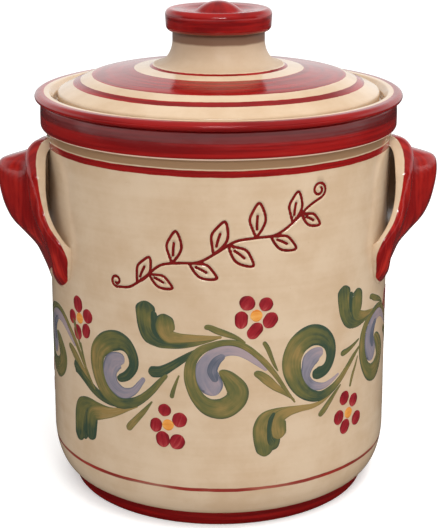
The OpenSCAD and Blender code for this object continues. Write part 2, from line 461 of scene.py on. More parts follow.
@dataclass(frozen=True)
class RingedLid(CreamGround):
    """The lid's glaze: three red rings turned on with a brush, and a bare seat below."""

    rings: tuple[Ring, ...] = (
        Ring(38.2, 39.9, 0.5, 2.0), Ring(48.8, 73.2, 0.9, 5.0), Ring(79.7, 83.9, 0.6, 8.0))
    dark_band: tuple[float, float] = (59.0, 2.0)
    top_from: float = 229.5
    seat_z: float = 228.6

    def ground(self, maker: Maker, place: Place) -> Ground:
        """Cream lid with its rings."""
        streak = maker.noise(place.around(1.6, place.radius * 0.34, 2.0), 1.0, 3.0, 0.5)
        painted: Any = 0.0
        for ring in self.rings:
            wander = maker.noise(place.around(1.5, place.z * 0.0, ring.seed), 1.0, 2.0) - 0.5
            fray = maker.noise(place.around(16.0, place.radius * 0.4, ring.seed), 1.0, 1.0) - 0.5
            level = place.radius + wander * (ring.wander * 2) + fray * 0.4
            middle = (ring.inner + ring.outer) / 2
            ring_mask = level.band(middle, ring.outer - ring.inner, 0.35)
            painted = ring_mask.high(painted)
        painted = painted * place.z.rise(self.top_from, self.top_from + 0.6)
        red = SLIP.brushed(maker, streak)
        # A darker band of red, wandering in radius, round the middle of the wide ring.
        sway = (maker.noise(place.around(1.2, place.z * 0.0, 12.0), 1.0, 1.0) - 0.5) * 5.0
        dark = (place.radius + sway).band(self.dark_band[0], self.dark_band[1], 2.0)
        red = maker.mix(dark * 0.55, red, SLIP.deep)
        colour = maker.mix(painted, self.cream(maker, place), red)
        bare = place.z.rise(self.seat_z, self.seat_z - 0.4)
        colour = maker.mix(bare, colour, self.clay)
        rough = self.sheen(maker, place) + bare * 0.5
        return Ground(colour, rough, self.ripple(maker, place))


@dataclass(frozen=True)
class RimSlip(CreamGround):
    """Red slip over collar and bead, with the cream gallery inside the bead."""

    # Paler cream of the painted highlight on the collar's lower lip.
    pale: Colour = srgb(240, 208, 184)
    border_r: float = 101.0
    border_z: float = 216.15
    inner_top: float = 230.0
    # Colour of the painted shade on the collar's upper half.
    upper_collar_shade: Colour = srgb(62, 10, 12)

    def ground(self, maker: Maker, place: Place) -> Ground:
        """Red outside and cream inside, with a wandering border between."""
        streak = maker.noise(place.around(1.4, (place.z * 0.42 + place.radius * 0.25), 6.0),
                             1.0, 3.0, 0.5)
        wander = (maker.noise(place.around(3.0, place.z * 0.0, 4.0), 1.0, 2.0) - 0.5) * 1.1
        outside = (place.radius + wander).rise(self.border_r - 0.2, self.border_r + 0.2)
        under = place.z.rise(self.border_z + 0.1, self.border_z - 0.1)
        red = SLIP.brushed(maker, streak)
        # Painted shade: the red darkens over the collar's upper half, below the bead, most in its
        # lower part.
        upper = place.z.rise(223.0, 224.8) * place.z.rise(232.8, 231.2)
        red = maker.mix(upper * (0.58 - place.z.rise(226.0, 231.5) * 0.38), red, self.upper_collar_shade)
        edge = place.z.rise(self.border_z + 1.6, self.border_z)
        red = maker.mix(edge * 0.35, red, SLIP.deep)
        # Painted highlight: the cream on the collar's rounded lower lip, just below the red, turns
        # paler.
        lip = place.z.rise(self.border_z + 1.0, self.border_z)
        cream = maker.mix(lip, self.cream(maker, place), self.pale)
        colour = maker.mix(outside * (1.0 - under), cream, red)
        return Ground(colour, self.sheen(maker, place), self.ripple(maker, place))


@dataclass(frozen=True)
class FootSlip(CreamGround):
    """Red slip round the foot, worn bare where it stands."""

    def ground(self, maker: Maker, place: Place) -> Ground:
        """Red outside, buff clay underneath and inside."""
        streak = maker.noise(place.around(1.6, place.z * 0.5, 6.0), 1.0, 3.0, 0.5)
        red = SLIP.brushed(maker, streak * 0.9)
        wear = maker.noise(place.around(20.0, place.z * 0.5, 3.0), 1.0, 3.0) * 1.3
        bare = (place.z + wear).rise(1.5, 0.9)
        inner = place.radius.rise(83.5, 82.5)
        raw = bare.high(inner)
        colour = maker.mix(raw, red, self.clay)
        return Ground(colour, self.sheen(maker, place) + raw * 0.45, self.ripple(maker, place))


@dataclass(frozen=True)
class KnobSlip(CreamGround):
    """Satin cream neck under its red cap and button, with painted shade on the neck."""

    border_z: float = 269.8
    # Colour of the painted shade under the cap and on the neck.
    shade_brown: Colour = srgb(112, 70, 46)

    def ground(self, maker: Maker, place: Place) -> Ground:
        """Red above the cap's underside, cream below it."""
        streak = maker.noise(place.around(1.4, (place.z * 0.45 + place.radius * 0.3), 5.0),
                             1.0, 3.0, 0.5)
        wander = (maker.noise(place.around(3.0, place.z * 0.0, 8.0), 1.0, 2.0) - 0.5) * 0.8
        level = place.z + wander
        capped = level.rise(self.border_z - 0.2, self.border_z + 0.2)
        # Painted shade: dark brown on the neck for about 6 mm below the cap, where its shadow
        # falls, and a light darkening over the rest of the neck.
        painted_shade = level.rise(self.border_z - 7.4, self.border_z - 5.6) * 0.85
        painted_shade = painted_shade + level.rise(self.border_z - 3.0, self.border_z - 1.0) * 0.15
        painted_shade = painted_shade.high(level.rise(238.0, 250.0) * 0.19)
        neck = maker.mix(painted_shade, self.cream(maker, place), self.shade_brown)
        colour = maker.mix(capped, neck, SLIP.brushed(maker, streak))
        rough = self.sheen(maker, place) + (1.0 - capped) * 0.3
        return Ground(colour, rough, self.ripple(maker, place))


@dataclass(frozen=True)
class StrapSlip(CreamGround):
    """Red slip brushed down a handle's fluted face, its edges and back left cream."""

    border: float = 0.4
    wall_gap: float = 1.0
    lobe_from: float = 40.0

    def ground(self, maker: Maker, place: Place) -> Ground:
        """Red face and cream edges, with brush strokes that run down the flutes."""
        strap = maker.attribute("strap", "Vector")
        across, height, drop = maker.split(strap)
        inset = maker.attribute("border")
        brush = maker.join(across * 0.36, drop * 0.035, height * 0.05)
        streak = maker.noise(brush, 1.0, 4.0, 0.55)
        patch = maker.noise(maker.join(across * 0.06, drop * 0.05, 4.0), 1.0, 2.0)
        wobble = (maker.noise(maker.join(across * 0.0, drop * 0.09, 8.0), 1.0, 2.0) - 0.5) * 1.3
        lobe = drop.rise(self.lobe_from, self.lobe_from + 22.0)
        margin = (1.0 - lobe) * 0.2 + self.border
        face = (inset + wobble - margin).rise(-0.2, 0.2)
        clear = (height + wobble * 0.5).rise(self.wall_gap - 0.2, self.wall_gap + 0.2)
        red = maker.mix(0.3, SLIP.brushed(maker, streak * 0.8 + patch * 0.25), SLIP.deep)
        red = maker.mix((streak * 0.5 + patch * 0.5).rise(0.46, 0.68) * (lobe * 0.5 + 0.4), red,
                        SLIP.lively)
        colour = maker.mix(face * clear, self.cream(maker, place), red)
        return Ground(colour, self.sheen(maker, place), streak * 0.8 + self.ripple(maker, place))


@dataclass(frozen=True)
class BrushPaint(Finish):
    """Underglaze paint laid on with a round brush: bristle streaks and a darker border."""

    relief_mm: float = 0.05
    light: Colour = srgb(152, 126, 76)
    middle: Colour = srgb(106, 104, 62)
    dark: Colour = srgb(60, 76, 60)
    thin: Colour = srgb(196, 168, 124)
    thin_share: float = 0.35
    border: float = 0.34

    def ground(self, maker: Maker, place: Place) -> Ground:
        """Colour from light to dark by the stroke's own tone, with streaks along it."""
        across = maker.attribute("across")
        run = maker.attribute("run")
        tone = maker.attribute("tone")
        seed = maker.attribute("seed")
        bristles = maker.noise(maker.join(across * 3.2, run * 0.05, seed * 9.0), 1.0, 4.0, 0.6)
        pool = maker.noise(maker.join(across * 0.9, run * 0.11, seed * 5.0), 1.0, 2.0)
        border = abs(across).rise(0.62, 0.98)
        depth = tone + (bristles - 0.5) * 1.0 + (pool - 0.5) * 0.7 + border * self.border
        colour = maker.mix(depth.rise(0.0, 0.55), self.light, self.middle)
        colour = maker.mix(depth.rise(0.45, 1.0), colour, self.dark)
        sparse = (bristles - tone * 0.25).rise(0.52, 0.72) * self.thin_share
        colour = maker.mix(sparse, colour, self.thin)
        return Ground(colour, 0.16, bristles)


class Wire:
    """A path or outline of points with values on them, which a geometry tree follows."""

    def __init__(self, name: str) -> None:
        """Starts an empty wire.

        Args:
            name: Name of its mesh.
        """
        self.name = name
        self.points: list[Sequence[float]] = []
        self.edges: list[tuple[int, int]] = []
        self.values: dict[str, list[Any]] = {}

    def add(self, points: Sequence[Sequence[float]], closed: bool, **values: Sequence[Any]) -> None:
        """Adds one line.

        Args:
            points: Its points in metres.
            closed: Whether its end joins its start.
            **values: Values for each point, by name.
        """
        start = len(self.points)
        self.points.extend([tuple(float(c) for c in p) for p in points])
        count = len(points)
        self.edges.extend((start + i, start + i + 1) for i in range(count - 1))
        if closed:
            self.edges.append((start + count - 1, start))
        for key, given in values.items():
            self.values.setdefault(key, []).extend(given)

    def mesh(self) -> bpy.types.Mesh:
        """Builds the wire as a mesh of edges.

        Returns:
            The mesh, with one attribute for each named value.
        """
        made = bpy.data.meshes.new(self.name)
        made.from_pydata(self.points, self.edges, [])
        for key, given in self.values.items():
            flat = np.array(given, float)
            kind = "FLOAT_VECTOR" if flat.ndim == 2 else "FLOAT"
            layer = made.attributes.new(key, kind, "POINT")
            layer.data.foreach_set("vector" if flat.ndim == 2 else "value", flat.ravel())
        return made


class GeometryTree:
    """A geometry tree with named inputs, run once on a wire to give a plain mesh."""

    def __init__(self, name: str, inputs: dict[str, str]) -> None:
        """Starts the tree.

        Args:
            name: Name of the tree.
            inputs: Socket type of each named input.
        """
        self.tree = bpy.data.node_groups.new(name, "GeometryNodeTree")
        self.maker = Maker(self.tree)
        face = self.tree.interface
        face.new_socket("Geometry", in_out="INPUT", socket_type="NodeSocketGeometry")
        self.sockets = {key: face.new_socket(key, in_out="INPUT", socket_type=kind).identifier
                        for key, kind in inputs.items()}
        face.new_socket("Geometry", in_out="OUTPUT", socket_type="NodeSocketGeometry")
        self.entry = self.tree.nodes.new("NodeGroupInput")

    def given(self, key: str) -> Value:
        """The tree's input of that name."""
        return Value(self.maker, self.entry.outputs[key])

    def close(self, geometry: Value) -> None:
        """Ends the tree: smooth shading, the material, and real geometry.

        Args:
            geometry: What the tree has made.
        """
        smooth = self.maker.value("GeometryNodeSetShadeSmooth", {}, {"Geometry": geometry})
        real = self.maker.value("GeometryNodeRealizeInstances", {}, {"Geometry": smooth})
        dressed = self.maker.value("GeometryNodeSetMaterial", {}, {
            "Geometry": real, "Material": self.given("Material")})
        self.maker.node("NodeGroupOutput", {}, {0: dressed})

    def run(self, wire: Wire, values: dict[str, Any]) -> bpy.types.Object:
        """Runs the tree.

        Args:
            wire: What it works on; the result takes the wire's name.
            values: A value for each named input.

        Returns:
            A plain mesh object at the origin.
        """
        source = bpy.data.objects.new(wire.name + "_wire", wire.mesh())
        bpy.context.scene.collection.objects.link(source)
        modifier = source.modifiers.new("tree", "NODES")
        modifier.node_group = self.tree
        for key, given in values.items():
            modifier[self.sockets[key]] = given
        graph = bpy.context.evaluated_depsgraph_get()
        graph.update()
        made = bpy.data.meshes.new_from_object(source.evaluated_get(graph))
        source.modifiers.remove(modifier)
        bpy.data.objects.remove(source)
        return piece_from(made, wire.name)


def piece_from(mesh: bpy.types.Mesh, name: str) -> bpy.types.Object:
    """Makes a piece at the origin whose faces point outwards.

    Args:
        mesh: A closed mesh, or several, with all faces turned the same way.
        name: Name of the piece.

    Returns:
        The linked object.
    """
    mesh.name = name
    mesh.calc_loop_triangles()
    corners = np.empty(len(mesh.loop_triangles) * 3, np.int32)
    mesh.loop_triangles.foreach_get("vertices", corners)
    places = np.empty(len(mesh.vertices) * 3)
    mesh.vertices.foreach_get("co", places)
    a, b, c = places.reshape(-1, 3)[corners.reshape(-1, 3)].transpose(1, 0, 2)
    if np.einsum("ij,ij->i", a, np.cross(b, c)).sum() < 0:
        mesh.flip_normals()
    made = bpy.data.objects.new(name, mesh)
    bpy.context.scene.collection.objects.link(made)
    return made


def arc(centre: Point, radii: Point, start: float, end: float, steps: int) -> list[Point]:
    """Points of an elliptic arc.

    Args:
        centre: Centre of the arc.
        radii: Its two radii.
        start: First angle in degrees.
        end: Last angle in degrees.
        steps: Number of steps.

    Returns:
        The points, both ends included.
    """
    turns = np.radians(np.linspace(start, end, steps + 1))
    return [(centre[0] + radii[0] * math.cos(t), centre[1] + radii[1] * math.sin(t))
            for t in turns]


def span(first: Point, last: Point, step: float) -> list[Point]:
    """Points of a straight line, both ends left out.

    Args:
        first: Where the line starts.
        last: Where it ends.
        step: Distance between points.

    Returns:
        The points between the ends.
    """
    count = max(1, round(math.dist(first, last) / step))
    return [(first[0] + (last[0] - first[0]) * i / count,
             first[1] + (last[1] - first[1]) * i / count) for i in range(1, count)]


def smooth_path(points: Sequence[Sequence[float]], step: float) -> np.ndarray:
    """Catmull-Rom curve through points, with all their values.

    Args:
        points: Points whose first two numbers are a place.
        step: Distance between the samples.

    Returns:
        One row for each sample.
    """
    given = np.array(points, float)
    ends = np.vstack([2 * given[0] - given[1], given, 2 * given[-1] - given[-2]])
    rows: list[np.ndarray] = []
    for i in range(1, len(ends) - 2):
        a, b, c, d = ends[i - 1:i + 3]
        count = max(2, int(math.ceil(math.dist(b[:2], c[:2]) / step)))
        for k in range(count):
            t = k / count
            rows.append(0.5 * (2 * b + (c - a) * t + (2 * a - 5 * b + 4 * c - d) * t * t
                               + (3 * b - a - 3 * c + d) * t ** 3))
    rows.append(given[-1])
    return np.array(rows)


class TurningTree(GeometryTree):
    """Turns an outline round the axis, and sinks the lines of a wire into it."""

    def __init__(self, name: str, grooved: bool) -> None:
        """Builds the tree.

        Args:
            name: Name of the tree.
            grooved: Whether the lines of a second wire are cut into the surface.
        """
        inputs = {"Outline": "NodeSocketObject", "Material": "NodeSocketMaterial"}
        if grooved:
            inputs.update({"Lines": "NodeSocketObject", "Groove Width": "NodeSocketFloat",
                           "Groove Depth": "NodeSocketFloat", "Lip": "NodeSocketFloat"})
        super().__init__(name, inputs)
        maker = self.maker
        path = maker.value("GeometryNodeMeshToCurve", {}, {"Mesh": self.given("Geometry")})
        outline = maker.value("GeometryNodeObjectInfo", {}, {"Object": self.given("Outline")},
                              "Geometry")
        profile = maker.value("GeometryNodeMeshToCurve", {}, {"Mesh": outline})
        turned = maker.value("GeometryNodeCurveToMesh", {}, {
            "Curve": path, "Profile Curve": profile})
        radius, height, _ = maker.split(maker.named("outline", "FLOAT_VECTOR"))
        turn = maker.named("turn", "FLOAT")
        across = maker.math("SINE", turn)
        front = maker.math("COSINE", turn) * -1.0
        turned = maker.value("GeometryNodeSetPosition", {}, {
            "Geometry": turned,
            "Position": maker.join(across * radius, front * radius, height)})
        if grooved:
            lines = maker.value("GeometryNodeObjectInfo", {}, {"Object": self.given("Lines")},
                                "Geometry")
            near = maker.value("GeometryNodeProximity", {"target_element": "EDGES"},
                               {"Target": lines}, "Distance")
            half = self.given("Groove Width") * 0.5
            cut = near.rise(half, half * 0.3) * self.given("Groove Depth")
            lip = near.band(half * 1.25, half * 0.6, 0.6 * MM) * self.given("Lip")
            sunk = radius - cut + lip
            turned = maker.value("GeometryNodeSetPosition", {}, {
                "Geometry": turned, "Position": maker.join(across * sunk, front * sunk, height)})
        self.close(maker.value("GeometryNodeMergeByDistance", {}, {
            "Geometry": turned, "Distance": 0.002 * MM}))


class StrokeTree(GeometryTree):
    """Lays brush strokes along flat paths and wraps them round the wall."""

    def __init__(self, name: str) -> None:
        """Builds the tree.

        Args:
            name: Name of the tree.
        """
        super().__init__(name, {
            "Wall Radius": "NodeSocketFloat", "Swell": "NodeSocketFloat",
            "Swell Top": "NodeSocketFloat", "Swell Height": "NodeSocketFloat",
            "Sink": "NodeSocketFloat", "Facets": "NodeSocketInt",
            "Material": "NodeSocketMaterial"})
        maker = self.maker
        path = maker.value("GeometryNodeMeshToCurve", {}, {"Mesh": self.given("Geometry")})
        circle = maker.value("GeometryNodeCurvePrimitiveCircle", {}, {
            "Resolution": self.given("Facets"), "Radius": 1.0})
        here = maker.value("GeometryNodeInputPosition", {}, {})
        circle = maker.value("GeometryNodeStoreNamedAttribute", {
            "data_type": "FLOAT_VECTOR", "domain": "POINT"}, {
            "Geometry": circle, "Name": "section", "Value": here})
        stroke = maker.value("GeometryNodeCurveToMesh", {}, {
            "Curve": path, "Profile Curve": circle, "Fill Caps": True})
        across, up, _ = maker.split(maker.named("section", "FLOAT_VECTOR"))
        side = maker.vector("SCALE", {0: maker.named("side", "FLOAT_VECTOR"), "Scale": across})
        flat = maker.vector("ADD", {0: maker.named("centre", "FLOAT_VECTOR"), 1: side})
        along, height, _ = maker.split(flat)
        swell = (self.given("Swell Top") - height) / self.given("Swell Height")
        wall = self.given("Wall Radius") + swell.low(1.0).high(0.0) * self.given("Swell")
        crown = up.high(0.0) ** 0.3 * maker.named("lift", "FLOAT")
        keel = (up * -1.0).high(0.0) ** 0.5 * self.given("Sink")
        radius = wall + crown - keel
        angle = along / self.given("Wall Radius")
        stroke = maker.value("GeometryNodeSetPosition", {}, {
            "Geometry": stroke,
            "Position": maker.join(maker.math("SINE", angle) * radius,
                                   maker.math("COSINE", angle) * radius * -1.0, height)})
        stroke = maker.value("GeometryNodeStoreNamedAttribute", {
            "data_type": "FLOAT", "domain": "POINT"}, {
            "Geometry": stroke, "Name": "across", "Value": across})
        self.close(stroke)


@dataclass
class Turned:
    """A turned piece: an outline of radius and height, and how finely it is turned."""

    name: str
    outline: list[Point]
    closed: bool
    finish: Finish
    body: Body
    slot: Slot
    replaces: str
    turns: Optional[np.ndarray] = None
    columns: int = 288

    def build(self, tree: TurningTree, lines: Optional[bpy.types.Object] = None,
              **sizes: float) -> bpy.types.Object:
        """Turns the outline and puts the piece on its body.

        Args:
            tree: The turning tree.
            lines: Wire to cut into the surface, for a grooved tree.
            **sizes: The groove's sizes in metres, by input name with underscores.

        Returns:
            The piece.
        """
        turns = self.turns
        if turns is None:
            turns = np.linspace(0, 2 * math.pi, self.columns, endpoint=False)
        ring = Wire(self.name)
        ring.add([(math.sin(t), -math.cos(t), 0.0) for t in turns], True, turn=list(turns))
        section = Wire(self.name + "_outline")
        places = [(r * MM, z * MM, 0.0) for r, z in self.outline]
        section.add(places, self.closed, outline=places)
        holder = bpy.data.objects.new(section.name, section.mesh())
        values: dict[str, Any] = {"Outline": holder, "Material": self.finish.material()}
        if lines is not None:
            values["Lines"] = lines
        values.update({key.replace("_", " "): size for key, size in sizes.items()})
        made = tree.run(ring, values)
        bpy.data.objects.remove(holder)
        made.data.set_sharp_from_angle(angle=math.radians(50))
        return settle(made, self.body, self.slot, self.replaces)


def settle(piece: bpy.types.Object, body: Body, slot: Slot, *nodes: str) -> bpy.types.Object:
    """Puts a piece on its body and hides what it stands for.

    Args:
        piece: The finished piece.
        body: Body it rides on.
        slot: Not used.
        *nodes: CAD nodes it replaces.

    Returns:
        The same piece.
    """
    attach(piece, body.value)
    if nodes:
        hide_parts(*nodes)
    LOG.info("%s: %d faces on %s", piece.name, len(piece.data.polygons), body.value)
    return piece


@dataclass
class Wall:
    """The pot's straight wall, its floor and the curve that the paint lies on."""

    radius: float = 100.0
    top: float = 215.0
    thick: float = 7.0
    swell: float = 0.6
    heel_r: float = 90.1
    heel: Point = (10.5, 25.0)
    foot_z: float = 9.0
    swell_h: float = 76.0
    floor_z: float = 18.0
    floor_round: float = 18.0

    @property
    def swell_top(self) -> float:
        """Height at which the swell has run out."""
        return self.foot_z + self.heel[1] + self.swell_h

    def radius_at(self, height: float) -> float:
        """Outer radius above the heel."""
        share = min(max((self.swell_top - height) / self.swell_h, 0.0), 1.0)
        return self.radius + self.swell * share

    def point(self, along: float, height: float, lift: float = 0.0) -> tuple[float, float, float]:
        """A point on the wall, in metres.

        Args:
            along: Arc from the middle of the front.
            height: Height above the ground.
            lift: Distance outside the wall.

        Returns:
            The point.
        """
        turn = along / self.radius
        r = (self.radius_at(height) + lift) * MM
        return (r * math.sin(turn), -r * math.cos(turn), height * MM)

    def outline(self, fine: Point, fine_step: float) -> list[Point]:
        """Outline of wall and floor, from the axis out, up and back inside.

        Args:
            fine: Heights between which the rows are close.
            fine_step: Distance between those rows.

        Returns:
            Points of radius and height.
        """
        inner = self.radius - self.thick
        heel = arc((self.heel_r, self.foot_z + self.heel[1]), self.heel, -90, 0, 28)
        outer = [(self.radius_at(fine[0]), fine[0]), (self.radius, fine[1]),
                 (self.radius, self.top)]
        points = [(0.0, self.foot_z)] + span((0, self.foot_z), heel[0], 10) + heel
        points += span(heel[-1], outer[0], 4) + [outer[0]]
        points += span(outer[0], outer[1], fine_step) + [outer[1]]
        points += span(outer[1], outer[2], 4) + [outer[2]]
        points += [(inner, self.top)]
        points += span(points[-1], (inner, self.floor_z + self.floor_round), 6)
        points += arc((inner - self.floor_round, self.floor_z + self.floor_round),
                      (self.floor_round, self.floor_round), 0, -90, 14)
        points += span(points[-1], (0, self.floor_z), 10) + [(0.0, self.floor_z)]
        return points

    def turns(self, fine: float, fine_step: float, step: float) -> np.ndarray:
        """Angles at which the wall is turned, close together in front.

        Args:
            fine: Arc to each side of the front with close columns.
            fine_step: Distance between those columns.
            step: Distance between the others.

        Returns:
            Angles in radians, in order.
        """
        front = np.linspace(-fine, fine, round(2 * fine / fine_step) + 1)
        rest_len = 2 * math.pi * self.radius - 2 * fine
        rest = fine + np.linspace(0, rest_len, round(rest_len / step) + 1)[1:-1]
        return np.concatenate([front, rest]) / self.radius


@dataclass
class Stroke:
    """One brush stroke: rows of arc, height, half width and tone, and its layer."""

    rows: Sequence[Sequence[float]]
    layer: int = 1
    seed: float = 0.0

    def shifted(self, along: float, up: float, stretch: float = 1.0) -> "Stroke":
        """The same stroke elsewhere on the wall.

        Args:
            along: Shift of its arc.
            up: Shift of its height.
            stretch: Stretch of its arcs, before the shift.

        Returns:
            A new stroke.
        """
        rows = [(a * stretch + along, z + up, w, t) for a, z, w, t in self.rows]
        return Stroke(rows, self.layer, self.seed + along * 0.13)


class Painter:
    """Collects strokes of one colour and lays them on the wall as one piece."""

    STEP = 0.9
    BASE_LIFT = 0.10
    LAYER_LIFT = 0.045

    def __init__(self, name: str, wall: Wall, finish: Finish, slot: Slot) -> None:
        """Starts a piece of paint.

        Args:
            name: Name of the piece.
            wall: The wall it lies on.
            finish: Its paint.
            slot: Its material slot.
        """
        self.wire = Wire(name)
        self.wall = wall
        self.finish = finish
        self.slot = slot

    def lay(self, stroke: Stroke, base: Optional[float] = None) -> None:
        """Adds one stroke.

        Args:
            stroke: The stroke.
            base: Height of its crown above the wall, where it isn't the layer's own.
        """
        path = smooth_path(stroke.rows, self.STEP)
        steps = np.hypot(*np.diff(path[:, :2], axis=0).T)
        run = np.concatenate([[0.0], np.cumsum(steps)])
        path, run = self._round_ends(path, run)
        ahead = np.gradient(path[:, :2], axis=0)
        ahead /= np.maximum(np.hypot(*ahead.T), 1e-9)[:, None]
        half = np.maximum(path[:, 2], 0.04)
        side = np.stack([ahead[:, 1] * half, -ahead[:, 0] * half, 0 * half], 1) * MM
        centre = np.stack([path[:, 0], path[:, 1], 0 * half], 1) * MM
        lift = self.BASE_LIFT + self.LAYER_LIFT * stroke.layer if base is None else base
        count = len(path)
        self.wire.add(centre, False, centre=centre, side=side, lift=[lift * MM] * count,
                      run=run, tone=path[:, 3], seed=[stroke.seed] * count)

    @staticmethod
    def _round_ends(path: np.ndarray, run: np.ndarray) -> tuple[np.ndarray, np.ndarray]:
        """Rounds both ends of a stroke, as a wet brush does.

        Args:
            path: Rows of arc, height, half width and tone.
            run: Distance of each row from the start.

        Returns:
            The path and distances, with more rows near the ends.
        """
        length = run[-1]
        first, last = max(path[0, 2], 0.2), max(path[-1, 2], 0.2)
        ease = (1 - np.cos(np.linspace(0, math.pi / 2, 7)))
        near = np.concatenate([first * ease, length - last * ease])
        inner = run[(run > first) & (run < length - last)]
        places = np.unique(np.concatenate([near[(near >= 0) & (near <= length)], inner]))
        rows = np.stack([np.interp(places, run, path[:, k]) for k in range(path.shape[1])], 1)
        for distance, cap in ((places, first), (length - places, last)):
            inside = np.clip(1 - distance / cap, 0, 1)
            rows[:, 2] *= np.sqrt(np.maximum(1 - inside ** 2, 0.0))
        return rows, places

    def finish_piece(self, tree: StrokeTree, radius_shift: float = 0.0,
                     sink: float = 0.35) -> bpy.types.Object:
        """Lays all strokes on the wall.

        Args:
            tree: The stroke tree.
            radius_shift: Shift of the wall's radius, negative in a groove.
            sink: How far the strokes reach into the wall.

        Returns:
            The piece.
        """
        made = tree.run(self.wire, {
            "Wall Radius": (self.wall.radius + radius_shift) * MM,
            "Swell": self.wall.swell * MM, "Swell Top": self.wall.swell_top * MM,
            "Swell Height": self.wall.swell_h * MM, "Sink": sink * MM, "Facets": 14,
            "Material": self.finish.material()})
        return settle(made, Body.CROCK, self.slot)


@dataclass
class Sprig:
    """The incised sprig above the scroll: a rising stem with leaf loops and tendrils."""

    stem: Sequence[Point] = (
        (-62, 141), (-54, 142.5), (-45, 149), (-36, 156.5), (-26, 158.5), (-15, 159.5),
        (-5, 165), (5, 171), (16, 172.5), (27, 173.5), (37, 179.5), (46, 187), (55, 191.5))
    leaves: Sequence[tuple[float, float, float]] = (
        (0.10, 62, 17), (0.17, -28, 15), (0.29, 82, 18), (0.36, -30, 17), (0.47, 70, 19),
        (0.54, -42, 18), (0.66, 84, 19), (0.72, -30, 17), (0.83, 78, 17), (0.88, -32, 14))
    width: float = 2.4
    depth: float = 0.85

    def lines(self) -> list[np.ndarray]:
        """All incised lines.

        Returns:
            Arrays of arc and height.
        """
        stem = smooth_path(self.stem, 1.0)
        run = np.concatenate([[0.0], np.cumsum(np.hypot(*np.diff(stem, axis=0).T))])
        made = [stem]
        for share, turn, length in self.leaves:
            at = run[-1] * share
            base = np.array([np.interp(at, run, stem[:, k]) for k in (0, 1)])
            made += self._leaf(base, math.radians(turn), length)
        made.append(self._curl(stem[-1], math.radians(30), 4.6, 1.35))
        made.append(self._curl(stem[0], math.radians(200), 3.6, -1.2))
        return made

    @staticmethod
    def _leaf(base: np.ndarray, turn: float, length: float) -> list[np.ndarray]:
        """One leaf: a pointed loop and its midrib.

        Args:
            base: Where it leaves the stem.
            turn: Its direction in radians.
            length: Its length.

        Returns:
            The loop and the midrib.
        """
        ahead = np.array([math.cos(turn), math.sin(turn)])
        side = np.array([-ahead[1], ahead[0]])
        belly = length * 0.24
        shape = [(0.0, 0.0), (0.24, 0.55), (0.5, 1.0), (0.76, 0.72), (1.0, 0.12),
                 (0.80, -0.55), (0.52, -0.9), (0.26, -0.6), (0.05, -0.1)]
        loop = [base + ahead * length * a + side * belly * b for a, b in shape]
        rib = [base + ahead * length * a + side * belly * b
               for a, b in ((0.22, 0.0), (0.42, 0.1), (0.66, 0.12))]
        return [smooth_path(loop, 1.0), smooth_path(rib, 1.0)]

    @staticmethod
    def _curl(start: np.ndarray, turn: float, radius: float, turns: float) -> np.ndarray:
        """A tendril that winds in.

        Args:
            start: Where it starts.
            turn: Its first direction in radians.
            radius: Its first radius.
            turns: How many turns it makes, negative to the right.

        Returns:
            The points.
        """
        way = 1 if turns > 0 else -1
        centre = np.array(start) + radius * way * np.array([-math.sin(turn), math.cos(turn)])
        first = math.atan2(start[1] - centre[1], start[0] - centre[0])
        steps = np.linspace(0, 1, 26)
        angles = first + 2 * math.pi * turns * steps
        radii = radius * (1 - 0.68 * steps)
        return centre + np.stack([radii * np.cos(angles), radii * np.sin(angles)], 1)

    def wire(self, wall: Wall) -> bpy.types.Object:
        """The lines on the wall, for the groove.

        Args:
            wall: The wall they are cut into.

        Returns:
            An object that holds the wire.
        """
        made = Wire("sprig_lines")
        for line in self.lines():
            made.add([wall.point(a, z) for a, z in line], False)
        return bpy.data.objects.new(made.name, made.mesh())

    def paint(self, wall: Wall, tree: StrokeTree) -> bpy.types.Object:
        """The red slip that fills the grooves.

        Args:
            wall: The wall.
            tree: The stroke tree.

        Returns:
            The piece.
        """
        slip = BrushPaint("sprig_slip", light=srgb(156, 42, 34), middle=srgb(122, 22, 20),
                          dark=srgb(84, 14, 14), thin=srgb(170, 76, 56), thin_share=0.25)
        painter = Painter("sprig_inlay", wall, slip, Slot.RED)
        for number, line in enumerate(self.lines()):
            rows = [(a, z, self.width * (0.42 + 0.07 * math.sin(k * 0.9 + number)), 0.55)
                    for k, (a, z) in enumerate(line)]
            painter.lay(Stroke(rows, 1, number * 0.7), base=0.03)
        return painter.finish_piece(tree, radius_shift=-0.42, sink=0.4)


@dataclass
class Flower:
    """Five pressed petals about an ochre centre."""

    centre: Point
    petals: Sequence[tuple[float, float, float, float, float]]
    eye: float = 3.5

    def strokes(self, seed: float) -> tuple[list[Stroke], list[Stroke]]:
        """The petals' strokes and the centre's.

        Args:
            seed: Number that makes the flower's streaks its own.

        Returns:
            Petal strokes and centre strokes.
        """
        petals = []
        for number, (a, z, wide, long, turn) in enumerate(self.petals):
            ahead = np.array([math.cos(math.radians(turn)), math.sin(math.radians(turn))])
            wide, long = wide * 1.06, long * 1.18
            reach = max(long - wide, 0.3) + 0.75 * wide
            ends = [np.array([a, z]) + ahead * reach * k for k in (-1, -0.4, 0.4, 1)]
            tones = (0.35, 0.5, 0.65, 0.45)
            widths = (wide * 0.80, wide * 0.98, wide, wide * 0.84)
            rows = [(e[0], e[1], w, t) for e, w, t in zip(ends, widths, tones)]
            petals.append(Stroke(rows, 2 + number % 2, seed + number * 1.3))
        a, z = self.centre
        eye = Stroke([(a - 3.3, z - 0.4, self.eye * 0.8, 0.3), (a, z, self.eye, 0.5),
                      (a + 3.4, z + 0.4, self.eye * 0.78, 0.35)], 1, seed)
        return petals, [eye]


@dataclass
class ScrollUnit:
    """One length of the painted scroll: green strokes, blue strokes, stems and flowers."""

    green: list[Stroke]
    blue: list[Stroke]
    flowers: list[Flower]


